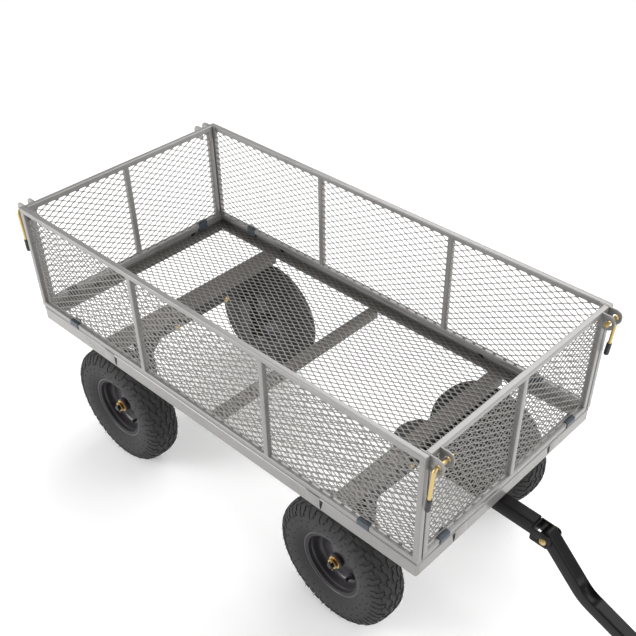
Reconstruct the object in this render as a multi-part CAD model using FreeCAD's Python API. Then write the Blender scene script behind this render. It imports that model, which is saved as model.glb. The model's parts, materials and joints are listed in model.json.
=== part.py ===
import FreeCAD, Part
import math
import os

# Four-wheel garden cart: mesh bed with four fold-down mesh panels, corner latch pins,
# a steered front axle and a pull handle. All sizes in millimetres.
# +X points to the handle, +Z up; the floor is z = 0.

# ---- bed -------------------------------------------------------------------
BED_LENGTH = 1220.0
BED_WIDTH = 605.0
WALL_DEPTH = 36.5        # rim top to the underside of the bed wall
WALL_T = 2.0
BEAD_D = 8.0             # round rim bead the panel clips turn on
BEAD_PROUD = 1.0         # bead stands this far outside the wall face
DECK_DROP = 13.0         # rim top down to the deck surface
DECK_T = 2.0
FLANGE_W = 31.0
RETURN_W = 15.0
MEMBER_T = 2.0
MEMBER_REAR_W = 45.0
MEMBER_MID_W = 25.0
MEMBER_FRONT_W = 38.0
PLATE_W = 38.0           # doubler plate beside each wall slot
PLATE_H = 25.0
PLATE_T = 1.2
PLATE_TOP = 3.0          # rim top down to the plate's upper edge
SLOT_TOP_W = 9.0
SLOT_LOW_W = 3.0
SLOT_H = 25.0
SIDE_PLATE_AT = 0.277    # plate centres, as a share of the wall length
END_PLATE_AT = 0.272

# ---- panels ----------------------------------------------------------------
PANEL_RISE = 283.0       # rim top to the top rail's upper face
TUBE = 13.0
TUBE_WALL = 1.2
PANEL_INSET = 0.2        # bed face to the panel's outer face
RAIL_GAP = 3.0           # rim top to the bottom rail
MESH_T = 1.5
MESH_SET = 2.5           # mesh plane inward of the tube's mid plane
CLIP_W = 30.0
CLIP_T = 2.0
CLIP_LIFT = 2.0          # rim top to the clip's outer skirt
SIDE_CLIP_AT = 0.3885
END_CLIP_AT = 0.385
BEAD_FIT = 0.08          # radial clearance, clip jaw on rim bead
CLIP_OPEN_OUT = 15.0     # jaw's outer lip, degrees outward from straight up
CLIP_OPEN_IN = 160.0     # jaw's inner lip, degrees inward from straight up
CORNER_GAP = 1.0         # end panel to the side panel's ear

# ---- corner latches --------------------------------------------------------
EAR_T = 3.0
EAR_H = 36.0
EAR_OUT = 31.0           # ear reach beyond the bed end
EAR_HOLE_D = 14.0
EAR_HOLE_DOWN = 18.0     # panel top to the hole axis
EAR_HOLE_OUT = 17.0      # bed end to the hole axis
EAR_ROOT = 22.0
END_EAR_IN = 24.0        # end ear inboard of the side ear
PIN_D = 8.0
PIN_LEG = 75.0
PIN_LEAN = 4.0           # leg leans towards the bed, degrees
PIN_BEND_R = 8.0
PIN_TAIL = 12.0          # pin tip beyond the end ear
COLLAR_D = 12.0
COLLAR_T = 3.0
GRIP_D = 12.0
GRIP_L = 32.0

# ---- wheels and axles ------------------------------------------------------
TYRE_D = 322.0
TYRE_W = 92.0
TYRE_WALL = 8.0
LIP_D = 170.0
RIM_W = 65.3
RIM_T = 2.5
RIM_SEAT = 12.0          # rim lip down to the tyre seat
HUB_D = 36.0
HUB_OUT = 19.0           # hub end outboard of the wheel's mid plane
AXLE_D = 16.0
AXLE_FIT = 0.05          # radial running clearance
AXLE_TIP = 37.5          # axle end outboard of the wheel's mid plane
AXLE_INSET = 230.0       # bed end to the axle line
WHEEL_TUCK = 4.5         # bed face to the tyre's outer face
TYRE_CLEAR = 21.5        # tyre top to the bed's underside
LEG_GAP = 11.0           # tyre to the drop leg
LEG_X = 40.0
LEG_Y = 30.0
LEG_BELOW = 25.0
BEAM_H = 32.0
BEAM_WALL = 3.0
GUSSET = 55.0
WASHER_D = 32.0
WASHER_T = 2.6
RING_D = 25.0
COTTER_D = 3.0
COTTER_IN = 5.5           # split-pin hole from the tip of the axle
VALVE_D = 8.0
VALVE_L = 26.0
VALVE_TURN = 55.0        # valve's place around the wheel, degrees below level
RUN_GAP = 0.5            # faces of different bodies that slide past each other

# ---- turntable, tongue and handle ------------------------------------------
STEER_REST = -2.2        # steering angle the cart is stored at, degrees
TABLE_D = 130.0
TABLE_TOP_T = 5.0
TABLE_LOW_T = 6.0
KINGPIN_D = 16.0
FRONT_BEAM = 36.0
TONGUE_W = 30.0
TONGUE_WALL = 3.0
PIVOT_OUT = 341.5        # kingpin to the handle pivot
PIVOT_DOWN = 77.3        # rim top to the handle pivot
CLEVIS_L = 50.0
CLEVIS_T = 3.0
CLEVIS_UP = 31.3
CLEVIS_DOWN = 15.2
CLEVIS_FRONT = 18.5
CLEVIS_SIDE_GAP = 0.6
HANDLE_TUBE = 31.0
HANDLE_WALL = 2.5
HANDLE_END = 8.0         # tube end behind the pivot
PIVOT_UNDER_TOP = 23.5   # tube's top face to the pivot
PIVOT_BOLT_D = 10.0
LEG1_ANGLE = 43.2        # handle's first length, degrees below level
LEG1_LENGTH = 142.4
LEG2_ANGLE = 19.7
BEND_R = 110.0
LOOP_L = 120.0
LOOP_W = 130.0
LOOP_ROD_D = 12.0
FOAM_D = 32.0
FOAM_L = 104.0

# ---- derived ---------------------------------------------------------------
V = FreeCAD.Vector
UP = V(0, 0, 1)
RIM_Z = TYRE_D + TYRE_CLEAR + WALL_DEPTH
BED_LOW = RIM_Z - WALL_DEPTH
DECK_Z = RIM_Z - DECK_DROP
FLANGE_Z = DECK_Z - DECK_T
BEAD_Z = RIM_Z - BEAD_D / 2
BEAD_IN = BEAD_D / 2
WALL_U = (BEAD_PROUD, BEAD_PROUD + WALL_T)
PANEL_TOP = RIM_Z + PANEL_RISE
RAIL_Z = RIM_Z + RAIL_GAP
INNER_FACE = PANEL_INSET + TUBE
HALF_L = BED_LENGTH / 2
HALF_W = BED_WIDTH / 2
AXLE_Z = TYRE_D / 2
AXLE_X = HALF_L - AXLE_INSET
WHEEL_Y = HALF_W - WHEEL_TUCK - TYRE_W / 2
LEG_OUT = WHEEL_Y - TYRE_W / 2 - LEG_GAP
HUB_IN = LEG_OUT + LEG_GAP + 1.0
END_PANEL_L = 2 * (HALF_W - INNER_FACE - EAR_T - CORNER_GAP)
HOLE_X = HALF_L + EAR_HOLE_OUT
HOLE_Z = PANEL_TOP - EAR_HOLE_DOWN
TABLE_Z = BED_LOW - TABLE_TOP_T
SWIVEL_Z = TABLE_Z - RUN_GAP
FRONT_TOP = SWIVEL_Z - TABLE_LOW_T
PIVOT = V(AXLE_X + PIVOT_OUT, 0, RIM_Z - PIVOT_DOWN)

NODES = {}


def box(x0, x1, y0, y1, z0, z1):
    """Axis-aligned block between the stated limits."""
    return Part.makeBox(x1 - x0, y1 - y0, z1 - z0, V(x0, y0, z0))


def tube_x(x0, x1, y0, y1, z0, z1, wall):
    """Rectangular tube along X, open at both ends."""
    return box(x0, x1, y0, y1, z0, z1).cut(
        box(x0 - 1, x1 + 1, y0 + wall, y1 - wall, z0 + wall, z1 - wall))


def tube_y(x0, x1, y0, y1, z0, z1, wall):
    """Rectangular tube along Y, open at both ends."""
    return box(x0, x1, y0, y1, z0, z1).cut(
        box(x0 + wall, x1 - wall, y0 - 1, y1 + 1, z0 + wall, z1 - wall))


def tube_z(x0, x1, y0, y1, z0, z1, wall):
    """Rectangular tube along Z, open at both ends."""
    return box(x0, x1, y0, y1, z0, z1).cut(
        box(x0 + wall, x1 - wall, y0 + wall, y1 - wall, z0 - 1, z1 + 1))


def cyl_y(x, z, d, y0, y1):
    """Round bar along Y."""
    return Part.makeCylinder(d / 2, y1 - y0, V(x, y0, z), V(0, 1, 0))


def hex_y(x, z, flats, y0, y1):
    """Hexagonal prism along Y."""
    r = flats / math.sqrt(3)
    pts = [V(x + r * math.cos(math.radians(60 * k + 30)), y0,
             z + r * math.sin(math.radians(60 * k + 30))) for k in range(7)]
    return Part.Face(Part.makePolygon(pts)).extrude(V(0, y1 - y0, 0))


def hex_z(x, y, flats, z0, z1):
    """Hexagonal prism along Z."""
    r = flats / math.sqrt(3)
    pts = [V(x + r * math.cos(math.radians(60 * k)), y + r * math.sin(math.radians(60 * k)), z0)
           for k in range(7)]
    return Part.Face(Part.makePolygon(pts)).extrude(V(0, 0, z1 - z0))


def prism(points, push):
    """Closed polygon extruded along a vector."""
    return Part.Face(Part.makePolygon(points + points[:1])).extrude(push)


def rod(points, d, bend_r):
    """Round rod along a polyline whose corners are bent to a radius."""
    edges, start = [], points[0]
    for a, b, c in zip(points, points[1:], points[2:]):
        u, w = (a - b).normalize(), (c - b).normalize()
        half = u.getAngle(w) / 2
        reach = bend_r / math.tan(half)
        p, q = b + u * reach, b + w * reach
        mid_dir = (u + w).normalize()
        mid = b + mid_dir * (bend_r / math.sin(half) - bend_r)
        edges += [Part.makeLine(start, p), Part.Arc(p, mid, q).toShape()]
        start = q
    edges.append(Part.makeLine(start, points[-1]))
    path = Part.Wire(edges)
    ring = Part.Wire([Part.makeCircle(d / 2, points[0], points[1] - points[0])])
    return path.makePipeShell([ring], True, False)


def revolve_y(profile, x, y, z, out):
    """Solid turned about the wheel axis from (offset, radius) points; out is +1 or -1."""
    pts = [V(x, y + out * w, z + r) for w, r in profile]
    face = Part.Face(Part.makePolygon(pts + pts[:1]))
    return face.revolve(V(x, y, z), V(0, 1, 0), 360)


def spin(shape, angle, centre=V(0, 0, 0), axis=UP):
    """Copy of a shape turned about an axis."""
    moved = shape.copy()
    moved.rotate(centre, axis, angle)
    return moved


def steer(shapes):
    """Turn the pieces that ride on the front axle to the stored steering angle."""
    return [spin(s, STEER_REST, V(AXLE_X, 0, 0)) for s in shapes]


# ---- bed walls, written for the -Y side and turned for the others -----------
def slot_cut(at, half):
    """Tapered slot through the wall beside a doubler plate."""
    x = at + PLATE_W / 2
    top = RIM_Z - PLATE_TOP - BEAD_D / 2
    pts = [V(x, -half - 2, top), V(x + SLOT_TOP_W, -half - 2, top),
           V(x + SLOT_LOW_W, -half - 2, top - SLOT_H), V(x, -half - 2, top - SLOT_H)]
    return prism(pts, V(0, WALL_U[1] + 3, 0))


def wall(length, half, plate_at):
    """One mitred bed wall with its bead, deck flange, return lip and two slots."""
    run = length / 2
    u0, u1 = WALL_U
    shape = box(-run, run, -half + u0, -half + u1, BED_LOW, BEAD_Z)
    shape = shape.fuse([
        Part.makeCylinder(BEAD_D / 2, length, V(-run, -half + BEAD_IN, BEAD_Z), V(1, 0, 0)),
        box(-run, run, -half + u0, -half + FLANGE_W, FLANGE_Z - WALL_T, FLANGE_Z),
        box(-run, run, -half + u0, -half + RETURN_W, BED_LOW, BED_LOW + WALL_T)])
    deep = FLANGE_W + 5
    mitre = prism([V(-run, -half, BED_LOW - 5), V(run, -half, BED_LOW - 5),
                   V(run - deep, -half + deep, BED_LOW - 5),
                   V(-run + deep, -half + deep, BED_LOW - 5)], V(0, 0, WALL_DEPTH + 10))
    shape = shape.common(mitre)
    for at in (-plate_at * length, plate_at * length):
        shape = shape.cut(slot_cut(at, half))
        shape = shape.cut(box(at - PLATE_W / 2, at + PLATE_W / 2, -half - 1, -half + u0,
                              BED_LOW, RIM_Z + 1))
    return shape


def plates(length, half, plate_at):
    """Doubler plates on one wall."""
    top = RIM_Z - PLATE_TOP
    return [box(at - PLATE_W / 2, at + PLATE_W / 2, -half + WALL_U[0] - PLATE_T, -half + WALL_U[0],
                top - PLATE_H, top) for at in (-plate_at * length, plate_at * length)]


def member(x, width):
    """Cross member: a channel open downwards, between the deck flanges."""
    y = HALF_W - FLANGE_W
    return box(x - width / 2, x + width / 2, -y, y, BED_LOW, FLANGE_Z).cut(
        box(x - width / 2 + MEMBER_T, x + width / 2 - MEMBER_T, -y - 1, y + 1,
            BED_LOW - 1, FLANGE_Z - MEMBER_T))


side = wall(BED_LENGTH, HALF_W, SIDE_PLATE_AT)
end = wall(BED_WIDTH, HALF_L, END_PLATE_AT)
NODES["bed_sides"] = [side, spin(side, 180)]
NODES["bed_ends"] = [spin(end, 90), spin(end, -90)]
NODES["wall_plates"] = [
    spin(p, turn) for group, turns in (
        (plates(BED_LENGTH, HALF_W, SIDE_PLATE_AT), (0, 180)),
        (plates(BED_WIDTH, HALF_L, END_PLATE_AT), (90, -90)))
    for p in group for turn in turns]
edge = WALL_U[1]
NODES["deck_mesh"] = [box(-HALF_L + edge, HALF_L - edge, -HALF_W + edge, HALF_W - edge,
                          FLANGE_Z, DECK_Z)]
NODES["member_rear"] = [member(-AXLE_X, MEMBER_REAR_W)]
NODES["member_mid"] = [member(0, MEMBER_MID_W)]
NODES["member_front"] = [member(AXLE_X, MEMBER_FRONT_W)]


# ---- panels, written for the -Y side and turned for the others --------------
def panel_frame(length, half, bays):
    """Welded square-tube frame: two rails, two end posts and the posts between."""
    run, y0 = length / 2, -half + PANEL_INSET
    y1 = y0 + TUBE
    low, high = RAIL_Z + TUBE, PANEL_TOP - TUBE
    rails = [tube_x(-run, run, y0, y1, PANEL_TOP - TUBE, PANEL_TOP, TUBE_WALL),
             tube_x(-run, run, y0, y1, RAIL_Z, RAIL_Z + TUBE, TUBE_WALL)]
    return rails + [tube_z(x - TUBE / 2, x + TUBE / 2, y0, y1, low, high, TUBE_WALL)
                    for x in post_centres(length, bays)]


def post_centres(length, bays):
    """Post positions: one at each end and one between neighbouring bays."""
    run = length / 2 - TUBE / 2
    return [-run] + [-length / 2 + length * k / bays for k in range(1, bays)] + [run]


def panel_mesh(length, half, bays):
    """Flat sheet filling each bay where the expanded mesh is welded."""
    y = -half + PANEL_INSET + TUBE / 2 + MESH_SET
    xs = post_centres(length, bays)
    return [box(a + TUBE / 2, b - TUBE / 2, y - MESH_T / 2, y + MESH_T / 2,
                RAIL_Z + TUBE, PANEL_TOP - TUBE) for a, b in zip(xs, xs[1:])]


def clip(x, half):
    """Moulded hinge clip: grips the bottom rail and turns on the rim bead."""
    y_axis = -half + BEAD_IN
    y0, y1 = -half + PANEL_INSET, -half + INNER_FACE
    body = box(x - CLIP_W / 2, x + CLIP_W / 2, y0 - CLIP_T, y1 + CLIP_T,
               RIM_Z + CLIP_LIFT, RAIL_Z + TUBE + CLIP_T)
    web = box(x - CLIP_W / 2, x + CLIP_W / 2, y_axis, y1 + CLIP_T, BEAD_Z - CLIP_T, RAIL_Z)
    jaw_r = BEAD_D / 2 + BEAD_FIT
    jaw = Part.makeCylinder(jaw_r + CLIP_T, CLIP_W, V(x - CLIP_W / 2, y_axis, BEAD_Z), V(1, 0, 0))
    a, b = math.radians(CLIP_OPEN_OUT), math.radians(CLIP_OPEN_IN)
    far = 4 * BEAD_D
    gap = prism([V(x - CLIP_W, y_axis, BEAD_Z),
                 V(x - CLIP_W, y_axis - far * math.sin(a), BEAD_Z + far * math.cos(a)),
                 V(x - CLIP_W, y_axis - far, BEAD_Z - far),
                 V(x - CLIP_W, y_axis + far * math.sin(b), BEAD_Z + far * math.cos(b))],
                V(2 * CLIP_W, 0, 0))
    body = body.fuse([web, jaw.cut(gap)])
    bead = Part.makeCylinder(jaw_r, 2 * CLIP_W, V(x - CLIP_W, y_axis, BEAD_Z), V(1, 0, 0))
    rail = box(x - CLIP_W, x + CLIP_W, y0, y1, RAIL_Z, RAIL_Z + TUBE)
    slit = -half + PANEL_INSET + TUBE / 2 + MESH_SET
    over = box(x - CLIP_W, x + CLIP_W, slit - MESH_T / 2, slit + MESH_T / 2,
               RAIL_Z + TUBE - 1, RAIL_Z + TUBE + CLIP_T + 1)
    return body.cut(bead).cut(rail).cut(over)


def ear(x_root, x_tip, y0, y1):
    """Latch ear with a rounded nose and a round hole for the pin."""
    top, low = PANEL_TOP, PANEL_TOP - EAR_H
    r = EAR_H / 2
    body = box(x_root, x_tip - r, y0, y1, low, top).fuse(
        cyl_y(x_tip - r, top - r, EAR_H, y0, y1)).removeSplitter()
    return body.cut(cyl_y(HOLE_X, HOLE_Z, EAR_HOLE_D, y0 - 1, y1 + 1))


SIDE_EAR_Y = (-HALF_W + INNER_FACE, -HALF_W + INNER_FACE + EAR_T)
END_EAR_Y = (SIDE_EAR_Y[1] + END_EAR_IN, SIDE_EAR_Y[1] + END_EAR_IN + EAR_T)
EAR_TIP = HALF_L + EAR_OUT
side_ear = ear(HALF_L - EAR_ROOT, EAR_TIP, *SIDE_EAR_Y)
end_ear = ear(HALF_L - PANEL_INSET, EAR_TIP, *END_EAR_Y)
FLIP_X = FreeCAD.Matrix(-1, 0, 0, 0, 0, 1, 0, 0, 0, 0, 1, 0, 0, 0, 0, 1)
FLIP_Y = FreeCAD.Matrix(1, 0, 0, 0, 0, -1, 0, 0, 0, 0, 1, 0, 0, 0, 0, 1)

for name, turn in (("right", 0), ("left", 180)):
    NODES["frame_" + name] = [spin(s, turn) for s in
                              panel_frame(BED_LENGTH, HALF_W, 3)
                              + [side_ear, side_ear.transformGeometry(FLIP_X)]]
    NODES["mesh_" + name] = [spin(s, turn) for s in panel_mesh(BED_LENGTH, HALF_W, 3)]
    NODES["clips_" + name] = [spin(clip(k * SIDE_CLIP_AT * BED_LENGTH, HALF_W), turn)
                              for k in (-1, 1)]
for name, turn, ear_turn in (("front", 90, 0), ("rear", -90, 180)):
    NODES["frame_" + name] = [spin(s, turn) for s in panel_frame(END_PANEL_L, HALF_L, 2)]
    NODES["frame_" + name] += [spin(s, ear_turn) for s in
                               (end_ear, end_ear.transformGeometry(FLIP_Y))]
    NODES["mesh_" + name] = [spin(s, turn) for s in panel_mesh(END_PANEL_L, HALF_L, 2)]
    NODES["clips_" + name] = [spin(clip(k * END_CLIP_AT * END_PANEL_L, HALF_L), turn)
                              for k in (-1, 1)]


# ---- latch pins, written for the +X -Y corner -------------------------------
def pin_shapes():
    """L-shaped latch pin with its collar, and the sleeve on its leg."""
    y_tip = END_EAR_Y[1] + PIN_TAIL
    y_leg = SIDE_EAR_Y[0] - PIN_BEND_R - 1.0
    lean = math.radians(PIN_LEAN)
    foot = V(HOLE_X - PIN_LEG * math.tan(lean), y_leg, HOLE_Z - PIN_LEG)
    tail = V(HOLE_X - (PIN_LEG + GRIP_L) * math.tan(lean), y_leg, HOLE_Z - PIN_LEG - GRIP_L)
    bar = rod([V(HOLE_X, y_tip, HOLE_Z), V(HOLE_X, y_leg, HOLE_Z), foot], PIN_D, PIN_BEND_R)
    collar = cyl_y(HOLE_X, HOLE_Z, COLLAR_D, y_tip - 2 * COLLAR_T, y_tip - COLLAR_T)
    grip = Part.makeCylinder(GRIP_D / 2, GRIP_L, foot, tail - foot)
    return bar.fuse(collar), grip.makeFillet(2.5, [grip.Edges[0], grip.Edges[2]])


pin, grip = pin_shapes()
CORNERS = {"front_right": (), "front_left": (FLIP_Y,), "rear_right": (FLIP_X,),
           "rear_left": (FLIP_X, FLIP_Y)}
for corner, flips in CORNERS.items():
    bar, sleeve = pin, grip
    for flip in flips:
        bar, sleeve = bar.transformGeometry(flip), sleeve.transformGeometry(flip)
    NODES["pin_" + corner] = [bar]
    NODES["grip_" + corner] = [sleeve]


# ---- axles ------------------------------------------------------------------
def axle_ends(x, beam_low, out):
    """Drop leg, gusset and stub axle on one side; out is +1 for +Y, -1 for -Y."""
    y_in, y_out = sorted((out * (LEG_OUT - LEG_Y), out * LEG_OUT))
    leg = tube_z(x - LEG_X / 2, x + LEG_X / 2, y_in, y_out, AXLE_Z - LEG_BELOW, beam_low, BEAM_WALL)
    leg = leg.cut(cyl_y(x, AXLE_Z, AXLE_D, -HALF_W, HALF_W))
    inner = LEG_OUT - LEG_Y
    side = x - BEAM_WALL
    gusset = prism([V(side, out * inner, beam_low), V(side, out * inner, beam_low - GUSSET),
                    V(side, out * (inner - GUSSET), beam_low)], V(2 * BEAM_WALL, 0, 0))
    stub_y = sorted((out * inner, out * (WHEEL_Y + AXLE_TIP)))
    step_y = sorted((out * LEG_OUT, out * (HUB_IN - RUN_GAP - WASHER_T - RUN_GAP)))
    hole_y = out * (WHEEL_Y + AXLE_TIP - COTTER_IN)
    stub = cyl_y(x, AXLE_Z, AXLE_D, *stub_y)
    tip = [e for e in stub.Edges if len(e.Vertexes) == 1
           and abs(e.CenterOfMass.y - out * (WHEEL_Y + AXLE_TIP)) < 0.1]
    stub = stub.makeChamfer(1.5, tip)
    stub = stub.fuse(cyl_y(x, AXLE_Z, AXLE_D + 8, *step_y))
    stub = stub.cut(Part.makeCylinder(COTTER_D / 2, AXLE_D + 8, V(x, hole_y, AXLE_Z - AXLE_D / 2 - 4), UP))
    return [leg, gusset, stub]


def washers(x, out):
    """Inner and outer hub washers and the outer ring on one stub axle."""
    rings = []
    for offset, thick, d in ((HUB_IN - RUN_GAP - WASHER_T - WHEEL_Y, WASHER_T, WASHER_D),
                             (HUB_OUT + RUN_GAP, WASHER_T, WASHER_D - 2),
                             (HUB_OUT + 9.0, 2.4, RING_D)):
        y = sorted((out * (WHEEL_Y + offset), out * (WHEEL_Y + offset + thick)))
        rings.append(cyl_y(x, AXLE_Z, d, *y).cut(cyl_y(x, AXLE_Z, AXLE_D, y[0] - 1, y[1] + 1)))
    return rings


def cotter(x, out):
    """Split pin through the axle end: two legs and a round eye."""
    y = out * (WHEEL_Y + AXLE_TIP - COTTER_IN)
    r = AXLE_D / 2
    shank = Part.makeCylinder(COTTER_D / 2 - 0.05, 2 * r + 9, V(x, y, AXLE_Z - r - 6), UP)
    eye = Part.makeTorus(3.2, 1.2, V(x, y, AXLE_Z + r + 5.2), V(0, 1, 0))
    leg = Part.makeCylinder(0.7, 8, V(x, y, AXLE_Z - r - 4.5), V(0.8, 0, -0.6))
    return shank.fuse([eye, leg])


def tie_bolts(x, z, ys, width, flats):
    """Hex bolts along X through a beam, heads forward."""
    out = []
    for y in ys:
        head = hex_y(0, 0, flats, 0, 5)
        nut = hex_y(0, 0, flats, width + 10, width + 17)
        shank = cyl_y(0, 0, flats * 0.6, 5, width + 12)
        bolt = head.fuse([nut, shank])
        bolt.rotate(V(0, 0, 0), UP, 90)
        bolt.translate(V(x + width / 2 + 5, y, z))
        out.append(bolt)
    return out


REAR_LOW = BED_LOW - BEAM_H
rear_ties = tie_bolts(-AXLE_X, REAR_LOW + 9, (-84, 84), LEG_X, 15)
rear_beam = tube_y(-AXLE_X - LEG_X / 2, -AXLE_X + LEG_X / 2, -LEG_OUT, LEG_OUT,
                   REAR_LOW, BED_LOW, BEAM_WALL)
NODES["rear_beam"] = [rear_beam.cut(rear_ties[0]).cut(rear_ties[1])]
NODES["rear_bolts"] = rear_ties
NODES["rear_axle_ends"] = axle_ends(-AXLE_X, REAR_LOW, 1) + axle_ends(-AXLE_X, REAR_LOW, -1)
NODES["rear_washers"] = washers(-AXLE_X, 1) + washers(-AXLE_X, -1)
NODES["rear_cotters"] = [cotter(-AXLE_X, 1), cotter(-AXLE_X, -1)]

# ---- turntable and front axle ------------------------------------------------
FRONT_LOW = FRONT_TOP - FRONT_BEAM
bore = Part.makeCylinder(KINGPIN_D / 2 + AXLE_FIT, 200, V(AXLE_X, 0, FRONT_LOW - 50), UP)
seat = Part.makeCylinder(KINGPIN_D / 2, 200, V(AXLE_X, 0, FRONT_LOW - 50), UP)
NODES["turntable_fixed"] = [
    Part.makeCylinder(TABLE_D / 2, TABLE_TOP_T, V(AXLE_X, 0, TABLE_Z), UP).cut(seat)]
nut_top = FRONT_LOW - RUN_GAP
NODES["kingpin"] = [
    Part.makeCylinder(KINGPIN_D / 2, BED_LOW - nut_top + 18, V(AXLE_X, 0, nut_top - 18), UP).fuse([
        hex_z(AXLE_X, 0, 24, BED_LOW, BED_LOW + 10),
        Part.makeCylinder(17, 2.5, V(AXLE_X, 0, nut_top - 2.5), UP),
        hex_z(AXLE_X, 0, 24, nut_top - 15, nut_top - 2.5)])]
NODES["turntable_turning"] = steer([
    Part.makeCylinder(TABLE_D / 2, TABLE_LOW_T, V(AXLE_X, 0, FRONT_TOP), UP).cut(bore)])
front_ties = tie_bolts(AXLE_X, FRONT_LOW + 24, (-58, 58), FRONT_BEAM, 15)
front_beam = tube_y(AXLE_X - FRONT_BEAM / 2, AXLE_X + FRONT_BEAM / 2, -LEG_OUT, LEG_OUT,
                    FRONT_LOW, FRONT_TOP, BEAM_WALL).cut(bore)
NODES["front_beam"] = steer([front_beam.cut(front_ties[0]).cut(front_ties[1])])
NODES["front_bolts"] = steer(front_ties)
NODES["front_axle_ends"] = steer(axle_ends(AXLE_X, FRONT_LOW, 1) + axle_ends(AXLE_X, FRONT_LOW, -1))
NODES["front_washers"] = steer(washers(AXLE_X, 1) + washers(AXLE_X, -1))
NODES["front_cotters"] = steer([cotter(AXLE_X, 1), cotter(AXLE_X, -1)])


# ---- tongue and clevis --------------------------------------------------------
web_x = PIVOT.x + CLEVIS_FRONT - CLEVIS_L
NODES["tongue"] = steer([tube_x(AXLE_X + FRONT_BEAM / 2, web_x, -TONGUE_W / 2, TONGUE_W / 2,
                                FRONT_LOW, FRONT_TOP, TONGUE_WALL)])
gap_y = HANDLE_TUBE / 2 + CLEVIS_SIDE_GAP
cheek_y = gap_y + CLEVIS_T
cheeks = [box(web_x, PIVOT.x + CLEVIS_FRONT, s * gap_y if s > 0 else -cheek_y,
              cheek_y if s > 0 else -gap_y, PIVOT.z - CLEVIS_DOWN, PIVOT.z + CLEVIS_UP)
          .cut(cyl_y(PIVOT.x, PIVOT.z, PIVOT_BOLT_D, -50, 50)) for s in (-1, 1)]
for i, cheek in enumerate(cheeks):
    nose = [e for e in cheek.Edges if abs(e.CenterOfMass.x - PIVOT.x - CLEVIS_FRONT) < 0.1
            and abs(e.Length - CLEVIS_T) < 0.01]
    cheeks[i] = cheek.makeFillet(9.0, nose)
NODES["clevis"] = steer(cheeks + [box(web_x, web_x + 4, -gap_y, gap_y, FRONT_LOW, FRONT_TOP)])
NODES["pivot_bolt"] = steer([
    cyl_y(PIVOT.x, PIVOT.z, PIVOT_BOLT_D, -cheek_y, cheek_y + 14).fuse([
        Part.makeSphere(9, V(PIVOT.x, -cheek_y + 3.5, PIVOT.z)).common(
            box(PIVOT.x - 20, PIVOT.x + 20, -cheek_y - 20, -cheek_y, PIVOT.z - 20, PIVOT.z + 20)),
        hex_y(PIVOT.x, PIVOT.z, 16, cheek_y, cheek_y + 9)])])

# ---- handle -------------------------------------------------------------------
a1, a2 = math.radians(LEG1_ANGLE), math.radians(LEG2_ANGLE)
dir1, up1 = V(math.cos(a1), 0, -math.sin(a1)), V(math.sin(a1), 0, math.cos(a1))
dir2, up2 = V(math.cos(a2), 0, -math.sin(a2)), V(math.sin(a2), 0, math.cos(a2))
lift = PIVOT_UNDER_TOP - HANDLE_TUBE / 2
start = PIVOT + dir1 * (-HANDLE_END) + up1 * lift
corner = PIVOT + dir1 * LEG1_LENGTH + up1 * lift
leg2_length = (corner.z - FOAM_D / 2) / math.sin(a2)
bar_axis = corner + dir2 * leg2_length
tube_end = bar_axis - dir2 * LOOP_L


def bent_bar(size):
    """Square bar along the handle's bent centre line."""
    reach = BEND_R * math.tan((a1 - a2) / 2)
    centre = corner - dir1 * reach + up1 * BEND_R
    h = size / 2
    legs = []
    for p, q, up in ((start, corner - dir1 * reach, up1), (corner + dir2 * reach, tube_end, up2)):
        pts = [p + up * h, q + up * h, q - up * h, p - up * h]
        legs.append(prism([V(c.x, -h, c.z) for c in pts], V(0, size, 0)))
    p, q = corner - dir1 * reach, corner + dir2 * reach
    arc = []
    for k in range(9):
        t = a1 + (a2 - a1) * k / 8
        arc.append(V(-math.sin(t), 0, -math.cos(t)))
    outer = [centre + d * (BEND_R + h) for d in arc]
    inner = [centre + d * (BEND_R - h) for d in reversed(arc)]
    elbow = prism([V(c.x, -h, c.z) for c in outer + inner], V(0, size, 0))
    return legs[0].fuse([elbow, legs[1]])


handle = bent_bar(HANDLE_TUBE).cut(bent_bar(HANDLE_TUBE - 2 * HANDLE_WALL))
handle = handle.cut(cyl_y(PIVOT.x, PIVOT.z, PIVOT_BOLT_D + 2 * AXLE_FIT, -50, 50))
NODES["handle_tube"] = steer([handle])


def at_loop(s, y):
    """Point in the plane of the hand loop, s along the handle from the tube's end."""
    p = tube_end + dir2 * s
    return V(p.x, y, p.z)


cap = prism([at_loop(0, -HANDLE_TUBE / 2) + up2 * (HANDLE_TUBE / 2),
             at_loop(0, HANDLE_TUBE / 2) + up2 * (HANDLE_TUBE / 2),
             at_loop(0, HANDLE_TUBE / 2) - up2 * (HANDLE_TUBE / 2),
             at_loop(0, -HANDLE_TUBE / 2) - up2 * (HANDLE_TUBE / 2)], dir2 * 6)
loop = []
for s in (-1, 1):
    loop.append(rod([at_loop(6, s * 8), at_loop(30, s * 8), at_loop(62, s * LOOP_W / 2),
                     at_loop(LOOP_L - 14, s * LOOP_W / 2)], LOOP_ROD_D, 14))
bar_end = LOOP_W / 2 + LOOP_ROD_D / 2
lug = [prism([at_loop(LOOP_L - 14, s * LOOP_W / 2 - 6), at_loop(LOOP_L - 14, s * LOOP_W / 2 + 6),
              at_loop(LOOP_L + 8, s * LOOP_W / 2 + 6), at_loop(LOOP_L + 8, s * LOOP_W / 2 - 6)],
             up2 * 12) for s in (-1, 1)]
for piece in lug:
    piece.translate(up2 * -6)
cross = Part.makeCylinder(LOOP_ROD_D / 2, LOOP_W - 12, at_loop(LOOP_L, -LOOP_W / 2 + 6), V(0, 1, 0))
NODES["hand_loop"] = steer([cap] + loop + lug + [cross])
foam = Part.makeCylinder(FOAM_D / 2, FOAM_L, at_loop(LOOP_L, -FOAM_L / 2), V(0, 1, 0))
foam = foam.makeFillet(5.0, [foam.Edges[0], foam.Edges[2]])
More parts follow.
